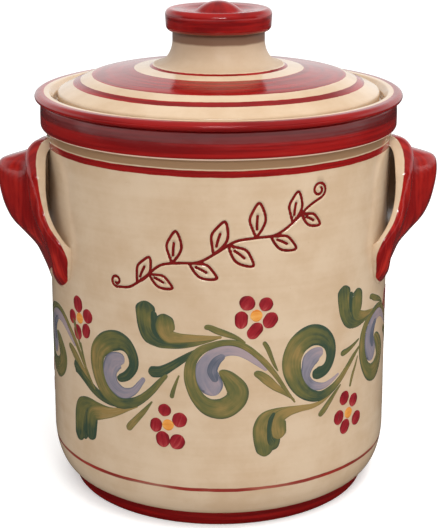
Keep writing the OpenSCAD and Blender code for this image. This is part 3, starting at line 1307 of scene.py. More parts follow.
# Rows are arc, height, half width and tone, from 0 for light ochre to 1 for dark green.
SCROLL_C = Stroke([
    (-63.8, 88.2, 1.6, 1.0), (-61.5, 88.1, 2.5, 1.0), (-56.9, 90.6, 3.0, 0.95),
    (-53.2, 95.4, 3.1, 0.9), (-52.6, 100.2, 3.4, 0.9), (-54.6, 105.4, 3.9, 0.85),
    (-58.6, 108.9, 5.2, 0.75), (-64.3, 109.6, 6.3, 0.6), (-71.8, 106.8, 6.5, 0.45),
    (-77.6, 100.7, 6.1, 0.3), (-79.0, 93.3, 5.4, 0.25), (-77.6, 86.2, 4.8, 0.3),
    (-74.0, 79.6, 4.4, 0.35), (-68.2, 74.8, 4.1, 0.5), (-62.0, 73.1, 3.5, 0.65),
    (-54.3, 74.7, 3.2, 0.7), (-47.9, 78.4, 2.6, 0.65), (-41.8, 84.0, 2.2, 0.55),
    (-37.2, 89.5, 1.8, 0.5), (-32.6, 94.6, 1.2, 0.5)], 3, 1.0)
SCROLL_C_BLUE = Stroke([
    (-58.6, 98.0, 2.4, 0.35), (-61.6, 98.7, 4.3, 0.4), (-66.6, 96.2, 5.4, 0.45),
    (-69.2, 90.6, 4.8, 0.4), (-68.3, 84.8, 4.6, 0.45), (-64.3, 81.2, 3.7, 0.5),
    (-59.0, 79.6, 3.2, 0.4), (-52.9, 82.2, 2.1, 0.45), (-48.9, 87.0, 1.6, 0.4),
    (-46.0, 91.0, 1.2, 0.35)], 1, 2.0)
SCROLL_S = Stroke([
    (-3.9, 98.2, 1.0, 0.4), (-1.2, 96.6, 3.1, 0.45), (2.4, 93.0, 4.8, 0.45),
    (6.2, 86.6, 6.3, 0.45), (4.8, 80.8, 6.3, 0.4), (-1.6, 76.6, 6.4, 0.4),
    (-9.2, 77.2, 5.4, 0.5), (-14.9, 81.8, 4.2, 0.5), (-18.5, 88.6, 3.7, 0.45),
    (-19.9, 95.7, 3.5, 0.4), (-18.8, 103.4, 3.1, 0.4), (-14.7, 109.2, 2.7, 0.45),
    (-8.5, 112.6, 2.1, 0.5), (-1.0, 114.5, 1.9, 0.45), (5.6, 113.9, 1.9, 0.4),
    (11.5, 111.0, 1.9, 0.35), (17.0, 106.4, 1.8, 0.3), (22.2, 100.9, 1.8, 0.3),
    (27.2, 94.4, 1.5, 0.35), (31.6, 87.7, 1.2, 0.35), (35.6, 81.6, 0.9, 0.4),
    (39.3, 76.4, 0.5, 0.3)], 3, 3.0)
SCROLL_S_BLUE = Stroke([
    (-5.6, 84.2, 4.6, 0.35), (-7.4, 88.6, 5.9, 0.35), (-10.2, 94.6, 6.2, 0.4),
    (-10.6, 100.2, 5.6, 0.4), (-7.4, 106.0, 4.9, 0.35), (-1.4, 109.6, 3.4, 0.25),
    (5.8, 109.6, 2.9, 0.1), (12.2, 106.6, 2.5, 0.05), (18.2, 101.6, 1.7, 0.05),
    (22.4, 97.4, 0.8, 0.05)], 1, 4.0)
SCROLL_S_SHADE = Stroke([
    (-5.5, 92.0, 1.6, 0.8), (-7.6, 98.2, 2.6, 0.9), (-5.4, 103.8, 2.4, 0.85),
    (-1.0, 107.4, 1.4, 0.7)], 2, 5.0)
COMMA = Stroke([
    (-43.6, 95.0, 2.6, 0.85), (-41.2, 95.4, 3.5, 0.9), (-36.2, 96.2, 3.4, 0.9),
    (-30.4, 99.7, 2.7, 0.9), (-24.6, 103.8, 2.3, 0.9), (-19.6, 107.4, 1.7, 0.8),
    (-15.6, 110.2, 0.9, 0.7)], 2, 6.0)
TOP_LEAF = [
    Stroke([(-40.4, 130.6, 1.8, 0.95), (-40.0, 125.0, 2.8, 1.0), (-39.4, 119.5, 2.8, 1.0),
            (-37.0, 114.6, 2.0, 0.9)], 1, 28.0),
    Stroke([(-45.0, 135.8, 4.4, 0.9), (-45.0, 132.5, 5.9, 0.8), (-45.0, 127.2, 5.7, 0.55),
            (-44.8, 121.6, 5.2, 0.65), (-42.4, 116.2, 5.2, 0.75), (-37.6, 112.9, 3.9, 0.85),
            (-31.2, 112.0, 2.8, 0.8), (-24.6, 112.2, 2.2, 0.75), (-17.6, 113.4, 1.5, 0.6),
            (-10.0, 115.4, 0.9, 0.5), (-3.8, 117.2, 0.4, 0.5)], 1, 7.0),
    Stroke([(-34.4, 129.6, 3.8, 0.8), (-34.2, 126.8, 5.4, 0.6), (-33.6, 121.8, 6.0, 0.3),
            (-31.6, 117.2, 4.5, 0.2), (-26.0, 116.3, 3.2, 0.2), (-18.2, 116.7, 2.3, 0.1),
            (-10.2, 117.2, 1.5, 0.05), (-2.4, 117.7, 0.8, 0.1)], 2, 8.0)]
SIDE_LEAF = [
    Stroke([(-91.6, 43.0, 2.4, 0.9), (-90.8, 49.0, 3.2, 0.95), (-89.8, 55.5, 3.0, 0.95),
            (-88.2, 61.0, 2.0, 0.9)], 1, 29.0),
    Stroke([(-97.8, 40.6, 3.4, 0.95), (-96.8, 44.6, 4.8, 0.85), (-95.8, 51.0, 5.6, 0.65),
            (-95.2, 57.6, 5.8, 0.5), (-93.0, 63.4, 5.2, 0.5), (-87.2, 66.6, 3.7, 0.6),
            (-79.4, 67.0, 2.5, 0.5), (-71.0, 67.3, 1.6, 0.45), (-63.0, 69.0, 0.7, 0.4)], 1, 9.0),
    Stroke([(-86.6, 44.4, 3.8, 0.95), (-85.8, 48.4, 5.0, 0.9), (-85.0, 55.0, 5.3, 0.8),
            (-83.2, 61.2, 5.0, 0.5), (-77.0, 63.6, 4.3, 0.1), (-70.0, 65.4, 3.3, 0.0),
            (-63.0, 67.9, 2.2, 0.0), (-56.4, 70.8, 1.2, 0.15), (-50.4, 73.4, 0.5, 0.3)],
           2, 10.0)]
LOW_LEAF = [
    Stroke([(25.2, 50.0, 3.0, 0.75), (26.6, 54.6, 3.8, 0.7), (27.0, 60.0, 3.4, 0.7),
            (26.4, 66.0, 2.4, 0.8)], 1, 30.0),
    Stroke([(21.6, 46.6, 3.2, 0.55), (21.4, 50.6, 4.9, 0.45), (20.1, 57.4, 5.3, 0.35),
            (19.7, 64.0, 5.1, 0.35), (22.0, 69.4, 4.3, 0.3), (27.2, 72.4, 2.4, 0.35),
            (35.0, 73.2, 1.5, 0.25), (43.0, 73.1, 1.0, 0.2), (50.0, 73.0, 0.5, 0.2)], 1, 11.0),
    Stroke([(30.2, 56.2, 3.2, 0.3), (29.7, 59.0, 4.6, 0.25), (29.0, 64.0, 5.2, 0.3),
            (29.8, 69.0, 4.4, 0.35), (35.4, 71.4, 2.9, 0.05), (42.6, 72.1, 2.1, 0.0),
            (50.4, 72.0, 1.6, 0.0), (57.4, 73.4, 1.1, 0.1), (63.4, 76.6, 0.7, 0.2),
            (67.0, 79.4, 0.3, 0.3)], 2, 12.0),
    Stroke([(27.0, 72.2, 0.9, 0.9), (24.8, 68.0, 1.5, 0.95), (24.0, 62.0, 1.4, 0.9),
            (24.6, 56.6, 1.9, 0.85), (26.4, 53.2, 2.6, 0.7)], 3, 13.0)]
SPRIGLETS = [
    Stroke([(-11.9, 123.0, 1.3, 0.5), (-9.2, 123.2, 1.7, 0.45), (-4.9, 121.3, 2.0, 0.35),
            (0.8, 119.2, 1.8, 0.4), (5.8, 117.0, 1.3, 0.45), (10.4, 114.0, 0.6, 0.4)], 2, 14.0),
    Stroke([(20.4, 114.1, 1.3, 0.5), (22.8, 110.0, 1.5, 0.45), (25.3, 103.6, 1.2, 0.45),
            (27.1, 99.4, 0.9, 0.5), (28.8, 96.2, 0.4, 0.5)], 2, 15.0),
    Stroke([(15.2, 96.6, 1.6, 0.55), (18.6, 95.0, 2.5, 0.4), (22.9, 91.4, 2.9, 0.2),
            (27.3, 87.2, 2.3, 0.15), (32.2, 83.5, 1.5, 0.25), (36.4, 80.1, 0.9, 0.4),
            (38.9, 77.8, 0.4, 0.4)], 2, 16.0),
    Stroke([(-30.2, 81.2, 1.4, 0.55), (-29.3, 85.0, 1.3, 0.5), (-27.9, 89.4, 1.0, 0.45),
            (-25.8, 95.0, 0.5, 0.5)], 1, 17.0),
    Stroke([(-57.2, 58.2, 1.8, 0.3), (-55.0, 61.4, 2.2, 0.3), (-50.7, 66.4, 1.9, 0.25),
            (-46.4, 71.4, 1.5, 0.4), (-41.4, 77.9, 0.5, 0.5)], 1, 18.0)]
FAR_COMMA = Stroke([
    (-101.2, 85.9, 3.2, 0.85), (-98.6, 86.0, 4.4, 0.85), (-94.4, 84.2, 3.9, 0.8),
    (-89.0, 80.6, 3.1, 0.8), (-82.9, 76.7, 2.9, 0.75), (-76.4, 73.8, 2.6, 0.8),
    (-69.3, 71.5, 1.6, 0.8), (-64.0, 70.8, 0.6, 0.7)], 2, 19.0)
TOP_FLOWER = Flower((16.3, 129.2), [
    (11.3, 136.6, 4.2, 4.5, 60), (21.7, 135.3, 3.7, 4.2, 60), (8.1, 127.2, 3.4, 5.0, 88),
    (24.2, 126.0, 3.8, 4.9, 55), (15.6, 120.6, 3.5, 5.2, 50)])
SIDE_FLOWER = Flower((-94.0, 115.6), [
    (-95.6, 123.6, 4.3, 5.2, 100), (-86.4, 118.6, 4.2, 4.6, 80), (-101.6, 114.8, 3.6, 4.4, 85),
    (-88.0, 109.6, 3.6, 4.6, 75), (-96.2, 106.8, 3.9, 4.8, 100)])
SIDE_STEM = Stroke([(-93.6, 101.4, 0.8, 0.5), (-92.0, 96.0, 1.0, 0.5), (-90.0, 90.6, 0.9, 0.5),
                    (-87.6, 85.6, 0.5, 0.5)], 2, 27.0)
LOW_FLOWER = Flower((-32.3, 65.2), [
    (-34.2, 73.8, 3.7, 4.0, 80), (-25.7, 68.8, 4.0, 4.7, 75), (-39.3, 64.4, 3.4, 4.4, 80),
    (-35.4, 56.4, 3.8, 4.9, 100), (-27.1, 55.7, 4.1, 4.9, 60)])
RIGHT_FLOWER = Flower((78.6, 60.6), [
    (74.8, 70.7, 3.8, 4.5, 60), (83.2, 67.2, 3.7, 4.3, 60), (70.4, 60.0, 3.8, 4.6, 80),
    (75.7, 53.0, 3.8, 4.7, 60), (86.4, 55.1, 4.0, 4.7, 40)])
LIMB_FLOWER = Flower((134.2, 111.8), [
    (130.9, 116.8, 3.5, 4.0, 60), (138.6, 116.6, 3.4, 4.0, 60), (127.0, 111.4, 3.3, 4.2, 80),
    (140.4, 109.0, 3.4, 4.2, 55), (133.4, 105.6, 3.4, 4.4, 50)])
RIGHT_C = Stroke([
    (50.4, 92.4, 2.4, 1.0), (53.6, 91.0, 3.9, 1.0), (58.4, 91.8, 3.6, 0.95),
    (61.8, 95.2, 3.4, 0.9), (63.2, 101.0, 3.9, 0.9), (61.3, 107.4, 4.8, 0.85),
    (55.5, 112.4, 6.0, 0.75), (48.2, 113.6, 6.8, 0.6), (41.2, 110.0, 6.8, 0.35),
    (37.5, 103.5, 6.4, 0.2), (37.1, 96.4, 6.0, 0.3), (39.3, 89.2, 5.2, 0.5),
    (43.2, 83.2, 4.5, 0.6), (49.0, 78.8, 3.8, 0.75), (55.7, 76.9, 3.1, 0.8),
    (63.2, 78.8, 2.7, 0.6), (70.0, 82.9, 2.2, 0.35), (76.2, 88.4, 1.9, 0.35),
    (82.2, 93.9, 1.6, 0.4), (88.2, 98.4, 0.7, 0.5)], 3, 20.0)
RIGHT_C_BLUE = Stroke([
    (57.4, 102.0, 1.8, 0.2), (54.0, 102.6, 3.9, 0.25), (49.2, 100.4, 5.0, 0.4),
    (46.6, 95.2, 3.5, 0.5), (45.9, 90.2, 2.6, 0.6), (48.2, 86.0, 2.6, 0.7),
    (52.6, 83.4, 2.3, 0.45), (58.2, 82.5, 1.8, 0.2), (63.6, 84.1, 1.3, 0.1),
    (69.6, 87.1, 0.6, 0.1)], 1, 21.0)
RIGHT_LEAF = [
    Stroke([(78.8, 133.0, 1.8, 0.9), (79.0, 127.0, 2.6, 0.95), (79.6, 120.6, 2.6, 0.95)], 1, 31.0),
    Stroke([(72.6, 138.0, 3.8, 0.85), (72.8, 135.0, 5.2, 0.75), (73.2, 128.6, 5.2, 0.5),
            (74.6, 121.4, 5.0, 0.6), (78.0, 115.8, 4.4, 0.75), (84.0, 113.0, 2.9, 0.8),
            (91.0, 113.2, 2.2, 0.7), (98.0, 114.2, 1.3, 0.5), (104.0, 115.0, 0.5, 0.4)],
           1, 22.0),
    Stroke([(84.5, 133.6, 3.6, 0.75), (84.8, 130.6, 5.2, 0.6), (84.7, 124.0, 5.6, 0.45),
            (85.4, 118.0, 4.0, 0.4), (91.0, 116.1, 2.8, 0.3), (98.0, 115.7, 1.8, 0.2),
            (105.0, 115.4, 1.1, 0.15), (112.0, 115.6, 0.5, 0.2)], 2, 23.0)]
RIGHT_SPRIGLETS = [
    Stroke([(70.8, 98.1, 1.5, 0.6), (73.2, 98.3, 2.0, 0.55), (76.6, 98.9, 1.8, 0.5),
            (81.4, 100.4, 1.3, 0.5), (87.6, 102.9, 0.6, 0.6)], 2, 24.0),
    Stroke([(79.5, 76.2, 0.9, 0.45), (81.5, 82.2, 1.2, 0.4), (84.4, 88.0, 0.9, 0.4),
            (86.6, 93.0, 0.4, 0.5)], 2, 25.0),
    Stroke([(55.0, 65.0, 1.6, 0.5), (58.0, 67.2, 2.0, 0.4), (62.2, 71.5, 1.8, 0.35),
            (67.2, 76.5, 1.2, 0.4), (71.4, 80.0, 0.5, 0.4)], 2, 26.0)]
LEFT_UNIT = ScrollUnit(
    [SCROLL_C, SCROLL_S, COMMA, FAR_COMMA, SIDE_STEM, *TOP_LEAF, *SIDE_LEAF, *SPRIGLETS],
    [SCROLL_C_BLUE, SCROLL_S_BLUE, SCROLL_S_SHADE], [TOP_FLOWER, SIDE_FLOWER, LOW_FLOWER])
RIGHT_UNIT = ScrollUnit(
    [RIGHT_C, SCROLL_S.shifted(111, 1), *LOW_LEAF, *RIGHT_LEAF, *RIGHT_SPRIGLETS,
     *[s.shifted(111, 1) for s in SPRIGLETS[:3]]],
    [RIGHT_C_BLUE, SCROLL_S_BLUE.shifted(111, 1), SCROLL_S_SHADE.shifted(111, 1)],
    [RIGHT_FLOWER, LIMB_FLOWER])
BACK_UNIT = ScrollUnit(
    [SCROLL_C, SCROLL_S, COMMA, FAR_COMMA, *TOP_LEAF, *SIDE_LEAF, *SPRIGLETS],
    [SCROLL_C_BLUE, SCROLL_S_BLUE, SCROLL_S_SHADE], [TOP_FLOWER, LOW_FLOWER])


@dataclass
class ScrollBand:
    """The painted band that runs round the wall: two units in front and three behind."""

    wall: Wall
    back_shifts: Sequence[float] = (252.0, 378.0, 505.0)
    stretch: float = 1.08
    handle_arc: float = 157.08
    handle_half: float = 57.0
    lobe_half: float = 44.0
    lobe_tip: float = 131.5
    handle_from: float = 124.0

    def _clear(self, stroke: Stroke) -> bool:
        """Whether a stroke stays clear of both handles."""
        girth = 2 * math.pi * self.wall.radius
        for a, z, w, _ in stroke.rows:
            place = (a + girth / 2) % girth - girth / 2
            half = self.handle_half if z + w > self.lobe_tip else self.lobe_half
            if abs(abs(place) - self.handle_arc) < half and z + w > self.handle_from:
                return False
        return True

    def build(self, tree: StrokeTree) -> list[bpy.types.Object]:
        """Paints the band.

        Args:
            tree: The stroke tree.

        Returns:
            The pieces of paint.
        """
        green = BrushPaint("scroll_green")
        blue = BrushPaint("scroll_blue", light=srgb(168, 148, 150), middle=srgb(136, 130, 140),
                          dark=srgb(92, 96, 108), thin=srgb(178, 166, 166), thin_share=0.3,
                          border=0.5)
        red = BrushPaint("petal_red", light=srgb(196, 92, 88), middle=srgb(152, 34, 42),
                         dark=srgb(112, 20, 30), thin=srgb(222, 150, 136), thin_share=0.5)
        ochre = BrushPaint("flower_ochre", light=srgb(242, 190, 112), middle=srgb(228, 150, 66),
                           dark=srgb(206, 118, 44), thin=srgb(240, 204, 150), thin_share=0.3)
        painters = {
            "green": Painter("scroll_and_leaves", self.wall, green, Slot.GREEN),
            "blue": Painter("scroll_shading", self.wall, blue, Slot.BLUE),
            "petal": Painter("flower_petals", self.wall, red, Slot.PETAL),
            "ochre": Painter("flower_centres", self.wall, ochre, Slot.OCHRE)}
        placed = [(LEFT_UNIT, 0.0, 1.0), (RIGHT_UNIT, 0.0, 1.0)]
        placed += [(BACK_UNIT, shift, self.stretch) for shift in self.back_shifts]
        for number, (unit, shift, stretch) in enumerate(placed):
            self._lay(painters, unit, shift, stretch, number)
        return [painter.finish_piece(tree) for painter in painters.values()]

    def _lay(self, painters: dict[str, Painter], unit: ScrollUnit, shift: float,
             stretch: float, number: int) -> None:
        """Lays one unit.

        Args:
            painters: Painters by colour.
            unit: The unit.
            shift: Shift of its arcs.
            stretch: Stretch of its arcs.
            number: Its number round the wall.
        """
        fuller = [Stroke([(a, z, w * 1.16, t) for a, z, w, t in stroke.rows], stroke.layer,
                         stroke.seed) for stroke in unit.blue]
        for key, strokes in (("green", unit.green), ("blue", fuller)):
            for stroke in strokes:
                moved = stroke.shifted(shift, 0.0, stretch)
                if self._clear(moved):
                    painters[key].lay(moved)
        for count, flower in enumerate(unit.flowers):
            petals, eyes = flower.strokes(number * 11.0 + count * 3.7)
            moved = [s.shifted(shift + flower.centre[0] * (stretch - 1), 0.0) for s in petals]
            if all(self._clear(s) for s in moved):
                for stroke in moved:
                    painters["petal"].lay(stroke)
                for stroke in eyes:
                    painters["ochre"].lay(
                        stroke.shifted(shift + flower.centre[0] * (stretch - 1), 0.0))


@dataclass
class EarHandle:
    """A fluted ear handle: three rolls that part into lobes where it meets the wall."""

    name: str
    side: int
    node: str
    wall_r: float = 100.0
    top_z: float = 212.0
    height: float = 94.0
    reach: float = 29.5
    top_w: float = 48.0
    foot_w: float = 112.0
    gap: float = 12.5
    gap_edge: float = 6.5
    gap_h: float = 52.0
    gap_middle: float = 0.338
    roll_at: float = 0.78
    groove_at: Point = (0.56, 0.63)
    root: float = 2.0
    lean: float = 6.5
    rings_per_station: int = 8
    stations: Sequence[Sequence[float]] = (
        (0.000, 0.00, -0.12, -0.14, -0.14, -0.14), (0.014, 0.00, -0.09, -0.02, 0.12, 0.05),
        (0.032, 0.00, -0.05, 0.10, 0.27, 0.13), (0.058, 0.04, 0.06, 0.21, 0.37, 0.20),
        (0.085, 0.09, 0.23, 0.30, 0.43, 0.25), (0.112, 0.16, 0.48, 0.37, 0.46, 0.28),
        (0.138, 0.24, 0.74, 0.37, 0.48, 0.31), (0.165, 0.32, 0.92, 0.40, 0.49, 0.33),
        (0.213, 0.40, 0.99, 0.42, 0.50, 0.34), (0.300, 0.47, 1.00, 0.41, 0.49, 0.33),
        (0.404, 0.55, 0.95, 0.38, 0.46, 0.30), (0.489, 0.70, 0.87, 0.34, 0.41, 0.26),
        (0.564, 0.90, 0.74, 0.27, 0.34, 0.18), (0.640, 1.00, 0.51, 0.19, 0.28, 0.11),
        (0.716, 1.00, 0.30, 0.09, 0.23, 0.07), (0.801, 0.92, 0.17, 0.03, 0.17, 0.04),
        (0.867, 0.80, 0.09, -0.04, 0.06, -0.05), (0.934, 0.74, 0.02, -0.09, -0.09, -0.10),
        (1.000, 0.74, -0.06, -0.14, -0.14, -0.14))

    def _sections(self) -> np.ndarray:
        """The stations, smoothed and closely spaced."""
        table = np.array(self.stations)
        last = len(table) - 1
        rows = []
        for k in range(last * self.rings_per_station + 1):
            i = min(k // self.rings_per_station, last - 1)
            t = k / self.rings_per_station - i
            a, b = table[max(i - 1, 0)], table[i]
            c, d = table[min(i + 1, last)], table[min(i + 2, last)]
            rows.append(b + 0.5 * t * ((c - a) + t * ((2 * a - 5 * b + 4 * c - d)
                                                      + t * (3 * (b - c) + d - a))))
        return np.array(rows)

    def _flute(self, row: np.ndarray, share: np.ndarray) -> np.ndarray:
        """Height of the outer face above the wall, at shares of the half width.

        Args:
            row: A station.
            share: Shares from -1 to 1.

        Returns:
            Heights in mm.
        """
        groove = self.groove_at[0] + (self.groove_at[1] - self.groove_at[0]) * row[1]
        p = np.abs(share)
        to_groove = (1 - np.cos(np.pi * np.clip(p / groove, 0, 1))) / 2
        to_roll = (1 - np.cos(np.pi * np.clip((p - groove) / (self.roll_at - groove), 0, 1))) / 2
        fall = np.sqrt(np.maximum(0, 1 - ((p - self.roll_at) / (1 - self.roll_at)) ** 2))
        inner = row[2] + (row[3] - row[2]) * to_groove
        middle = row[3] + (row[4] - row[3]) * to_roll
        outer = row[5] + (row[4] - row[5]) * fall
        return self.reach * np.where(p < groove, inner, np.where(p < self.roll_at, middle, outer))

    def _hollow(self, drop: float, share: np.ndarray) -> np.ndarray:
        """Height of the inner face above the wall.

        Args:
            drop: Share of the handle's height, from its top.
            share: Shares of the half width.

        Returns:
            Heights in mm.
        """
        q = (drop - self.gap_middle) * self.height / (self.gap_h / 2)
        arch = math.sqrt(max(0.0, 1 - q * q))
        ease = (1 - np.cos(np.pi * np.abs(share))) / 2
        return arch * (self.root + self.gap + (self.gap_edge - self.gap) * ease) - self.root

    def _ring(self, row: np.ndarray) -> np.ndarray:
        """One level ring: rows of arc, height and inset from the outer face's border.

        Args:
            row: A station.

        Returns:
            The ring's points, outer face first.
        """
        half = (self.top_w + (self.foot_w - self.top_w) * row[1]) / 2
        outer_s = np.sin(np.linspace(-np.pi / 2, np.pi / 2, 73))
        outer_s = 0.55 * outer_s + 0.45 * np.linspace(-1, 1, 73)
        inner_s = np.linspace(1, -1, 31)
        outer = self._flute(row, outer_s)
        over = self._flute(row, inner_s)
        inner = np.minimum(self._hollow(row[0], inner_s), over - 2.0)
        top = np.stack([outer_s * half, outer], 1)
        back = np.stack([inner_s * half, inner], 1)
        step = np.hypot(*np.diff(top, axis=0).T)
        run = np.concatenate([[0.0], np.cumsum(step)])
        inset = np.minimum(run, run[-1] - run)
        edge = np.full(len(back), -3.0)
        ring = np.concatenate([np.column_stack([top, inset]), np.column_stack([back, edge])])
        return self._soften(ring, len(top))

    @staticmethod
    def _soften(ring: np.ndarray, corner: int) -> np.ndarray:
        """Rounds the four corners where the outer face meets the inner one.

        Args:
            ring: The ring's points.
            corner: Number of points on the outer face.

        Returns:
            The ring with the same start and more points.
        """
        places = [0, corner - 1, corner, len(ring) - 1]
        made: list[np.ndarray] = []
        for i, point in enumerate(ring):
            if i not in places:
                made.append(point)
                continue
            before, after = ring[i - 1], ring[(i + 1) % len(ring)]
            reach = min(1.1, 0.45 * math.dist(before[:2], point[:2]) + 0.7,
                        0.45 * max(math.dist(point[:2], after[:2]), 0.5) + 0.7)
            for t in (0.0, 0.25, 0.5, 0.75, 1.0):
                a = point + (before - point) * min(1.0, reach / max(
                    math.dist(before[:2], point[:2]), 1e-6))
                b = point + (after - point) * min(1.0, reach / max(
                    math.dist(point[:2], after[:2]), 1e-6))
                made.append((1 - t) ** 2 * a + 2 * t * (1 - t) * point + t * t * b)
        return np.array(made)

    def build(self) -> bpy.types.Object:
        """Builds the handle and puts it on the crock.

        Returns:
            The piece.
        """
        rows = self._sections()
        rings = np.array([self._ring(row) for row in rows])
        count, size = rings.shape[:2]
        drops = np.repeat(rows[:, 0] * self.height, size).reshape(count, size)
        roll = self.roll_at * self.top_w / 2
        behind = np.clip((rings[..., 0] + roll * 0.5) / (roll * 1.5), 0, 1)
        near_top = 1 - np.clip((drops - 3.0) / 32.0, 0, 1)
        sink = self.lean * behind * near_top ** 2 * (3 - 2 * near_top)
        turn = rings[..., 0] / self.wall_r
        radius = self.wall_r + rings[..., 1]
        places = np.stack([self.side * radius * np.cos(turn), radius * np.sin(turn),
                           self.top_z - drops - sink], -1) * MM
        index = np.arange(count * size).reshape(count, size)
        after = np.roll(index, -1, axis=1)
        quads = np.stack([index[:-1], index[1:], after[1:], after[:-1]], -1).reshape(-1, 4)
        caps = [list(index[0]), list(index[-1][::-1])]
        mesh = bpy.data.meshes.new(self.name)
        mesh.from_pydata(places.reshape(-1, 3).tolist(), [], quads.tolist() + caps)
        strap = np.stack([rings[..., 0], rings[..., 1], drops], -1).reshape(-1, 3)
        layer = mesh.attributes.new("strap", "FLOAT_VECTOR", "POINT")
        layer.data.foreach_set("vector", strap.ravel())
        layer = mesh.attributes.new("border", "FLOAT", "POINT")
        layer.data.foreach_set("value", rings[..., 2].ravel())
        mesh.polygons.foreach_set("use_smooth", [True] * len(mesh.polygons))
        mesh.materials.append(StrapSlip(self.name + "_slip", relief_mm=0.14).material())
        made = piece_from(mesh, self.name)
        return settle(made, Body.CROCK, Slot.RED, self.node)


@dataclass
class Crock:
    """The pot: wall, foot, rim, handles, paint and incised sprig."""

    wall: Wall = field(default_factory=Wall)
    sprig: Sprig = field(default_factory=Sprig)
    foot_r: float = 88.5
    foot_w: float = 12.0
    foot_round: float = 1.6
    collar_r: float = 103.4
    bead_r: float = 3.4
    bead_x: float = 102.9
    bead_z: float = 232.9
    gallery_r: float = 95.3
    throat_r: float = 84.8
    ledge_z: float = 228.0
    ledge_t: float = 6.0

    def _foot(self) -> list[Point]:
        """Outline of the foot ring."""
        e, top = self.foot_round, self.wall.foot_z
        inner, outer = self.foot_r - self.foot_w, self.foot_r
        points = [(inner, top)] + span((inner, top), (inner, e), 2)
        points += arc((inner + e, e), (e, e), 180, 270, 6)
        points += span(points[-1], (outer - e, 0), 2)
        points += arc((outer - e, e), (e, e), -90, 0, 6)
        points += span(points[-1], (outer, top - e), 1.5)
        points += arc((outer - e, top - e), (e, e), 0, 90, 6)
        return points + span(points[-1], (inner, top), 2.5)

    def _rim(self) -> list[Point]:
        """Outline of collar, bead, gallery and ledge, with a softly barrelled collar."""
        base, round_ = self.wall.top, 2.4
        inner = self.wall.radius - self.wall.thick
        points = [(inner, base), (self.wall.radius - 0.5, base)]
        points += arc((self.collar_r - round_, base + round_), (round_, round_), -90, 0, 8)
        low, high = base + round_, self.bead_z - self.bead_r + 0.15
        for k in range(1, 10):
            t = k / 9
            points.append((self.collar_r - 0.8 * max(0.0, t - 0.35) ** 1.6,
                           low + (high - low) * t))
        points += arc((self.collar_r - 1.05, high), (0.65, 0.75), 0, 66, 5)[1:]
        low_bead = (self.bead_x, self.bead_z + 0.2)
        points += arc(low_bead, (self.bead_r, self.bead_r - 0.9), -66, 90, 24)
        lip = (self.bead_x - self.bead_r - 0.6, points[-1][1] - 1.4)
        points += span(points[-1], (lip[0], lip[1] + 1.4), 0.9)
        points += arc(lip, (1.4, 1.4), 90, 140, 5)
        slope_end = (self.gallery_r, self.ledge_z + 3.6)
        points += span(points[-1], slope_end, 1.2) + [slope_end]
        points += span(slope_end, (self.gallery_r, self.ledge_z + 0.8), 0.9)
        points += arc((self.gallery_r - 0.8, self.ledge_z + 0.8), (0.8, 0.8), 0, -90, 4)
        points += span(points[-1], (self.throat_r + 0.8, self.ledge_z), 1.5)
        points += arc((self.throat_r + 0.8, self.ledge_z - 0.8), (0.8, 0.8), 90, 180, 4)
        points += span(points[-1], (self.throat_r, self.ledge_z - self.ledge_t), 1.5)
        points += [(self.throat_r, self.ledge_z - self.ledge_t)]
        return points + span(points[-1], (inner, base), 1.5)

    def build(self, turning: TurningTree, grooving: TurningTree, strokes: StrokeTree) -> None:
        """Builds every piece of the pot.

        Args:
            turning: Tree for plain turned pieces.
            grooving: Tree for the wall with its incised lines.
            strokes: Tree for brush strokes.
        """
        lines = self.sprig.wire(self.wall)
        wall = Turned(
            "pot_wall", self.wall.outline((130.0, 200.0), 0.65), False,
            BandedWall("wall_glaze"), Body.CROCK, Slot.CREAM, "crock_body",
            self.wall.turns(72.0, 0.65, 2.6))
        wall.build(grooving, lines, Groove_Width=self.sprig.width * MM,
                   Groove_Depth=self.sprig.depth * MM, Lip=0.12 * MM)
        bpy.data.objects.remove(lines)
        self.sprig.paint(self.wall, strokes)
        Turned("pot_foot", self._foot(), True, FootSlip("foot_slip"), Body.CROCK, Slot.RED,
               "foot_ring").build(turning)
        Turned("pot_rim", self._rim(), True, RimSlip("rim_slip"), Body.CROCK, Slot.RED,
               "gallery_rim", columns=320).build(turning)
        EarHandle("ear_handle_right", 1, "handle_right").build()
        EarHandle("ear_handle_left", -1, "handle_left").build()
        ScrollBand(self.wall).build(strokes)


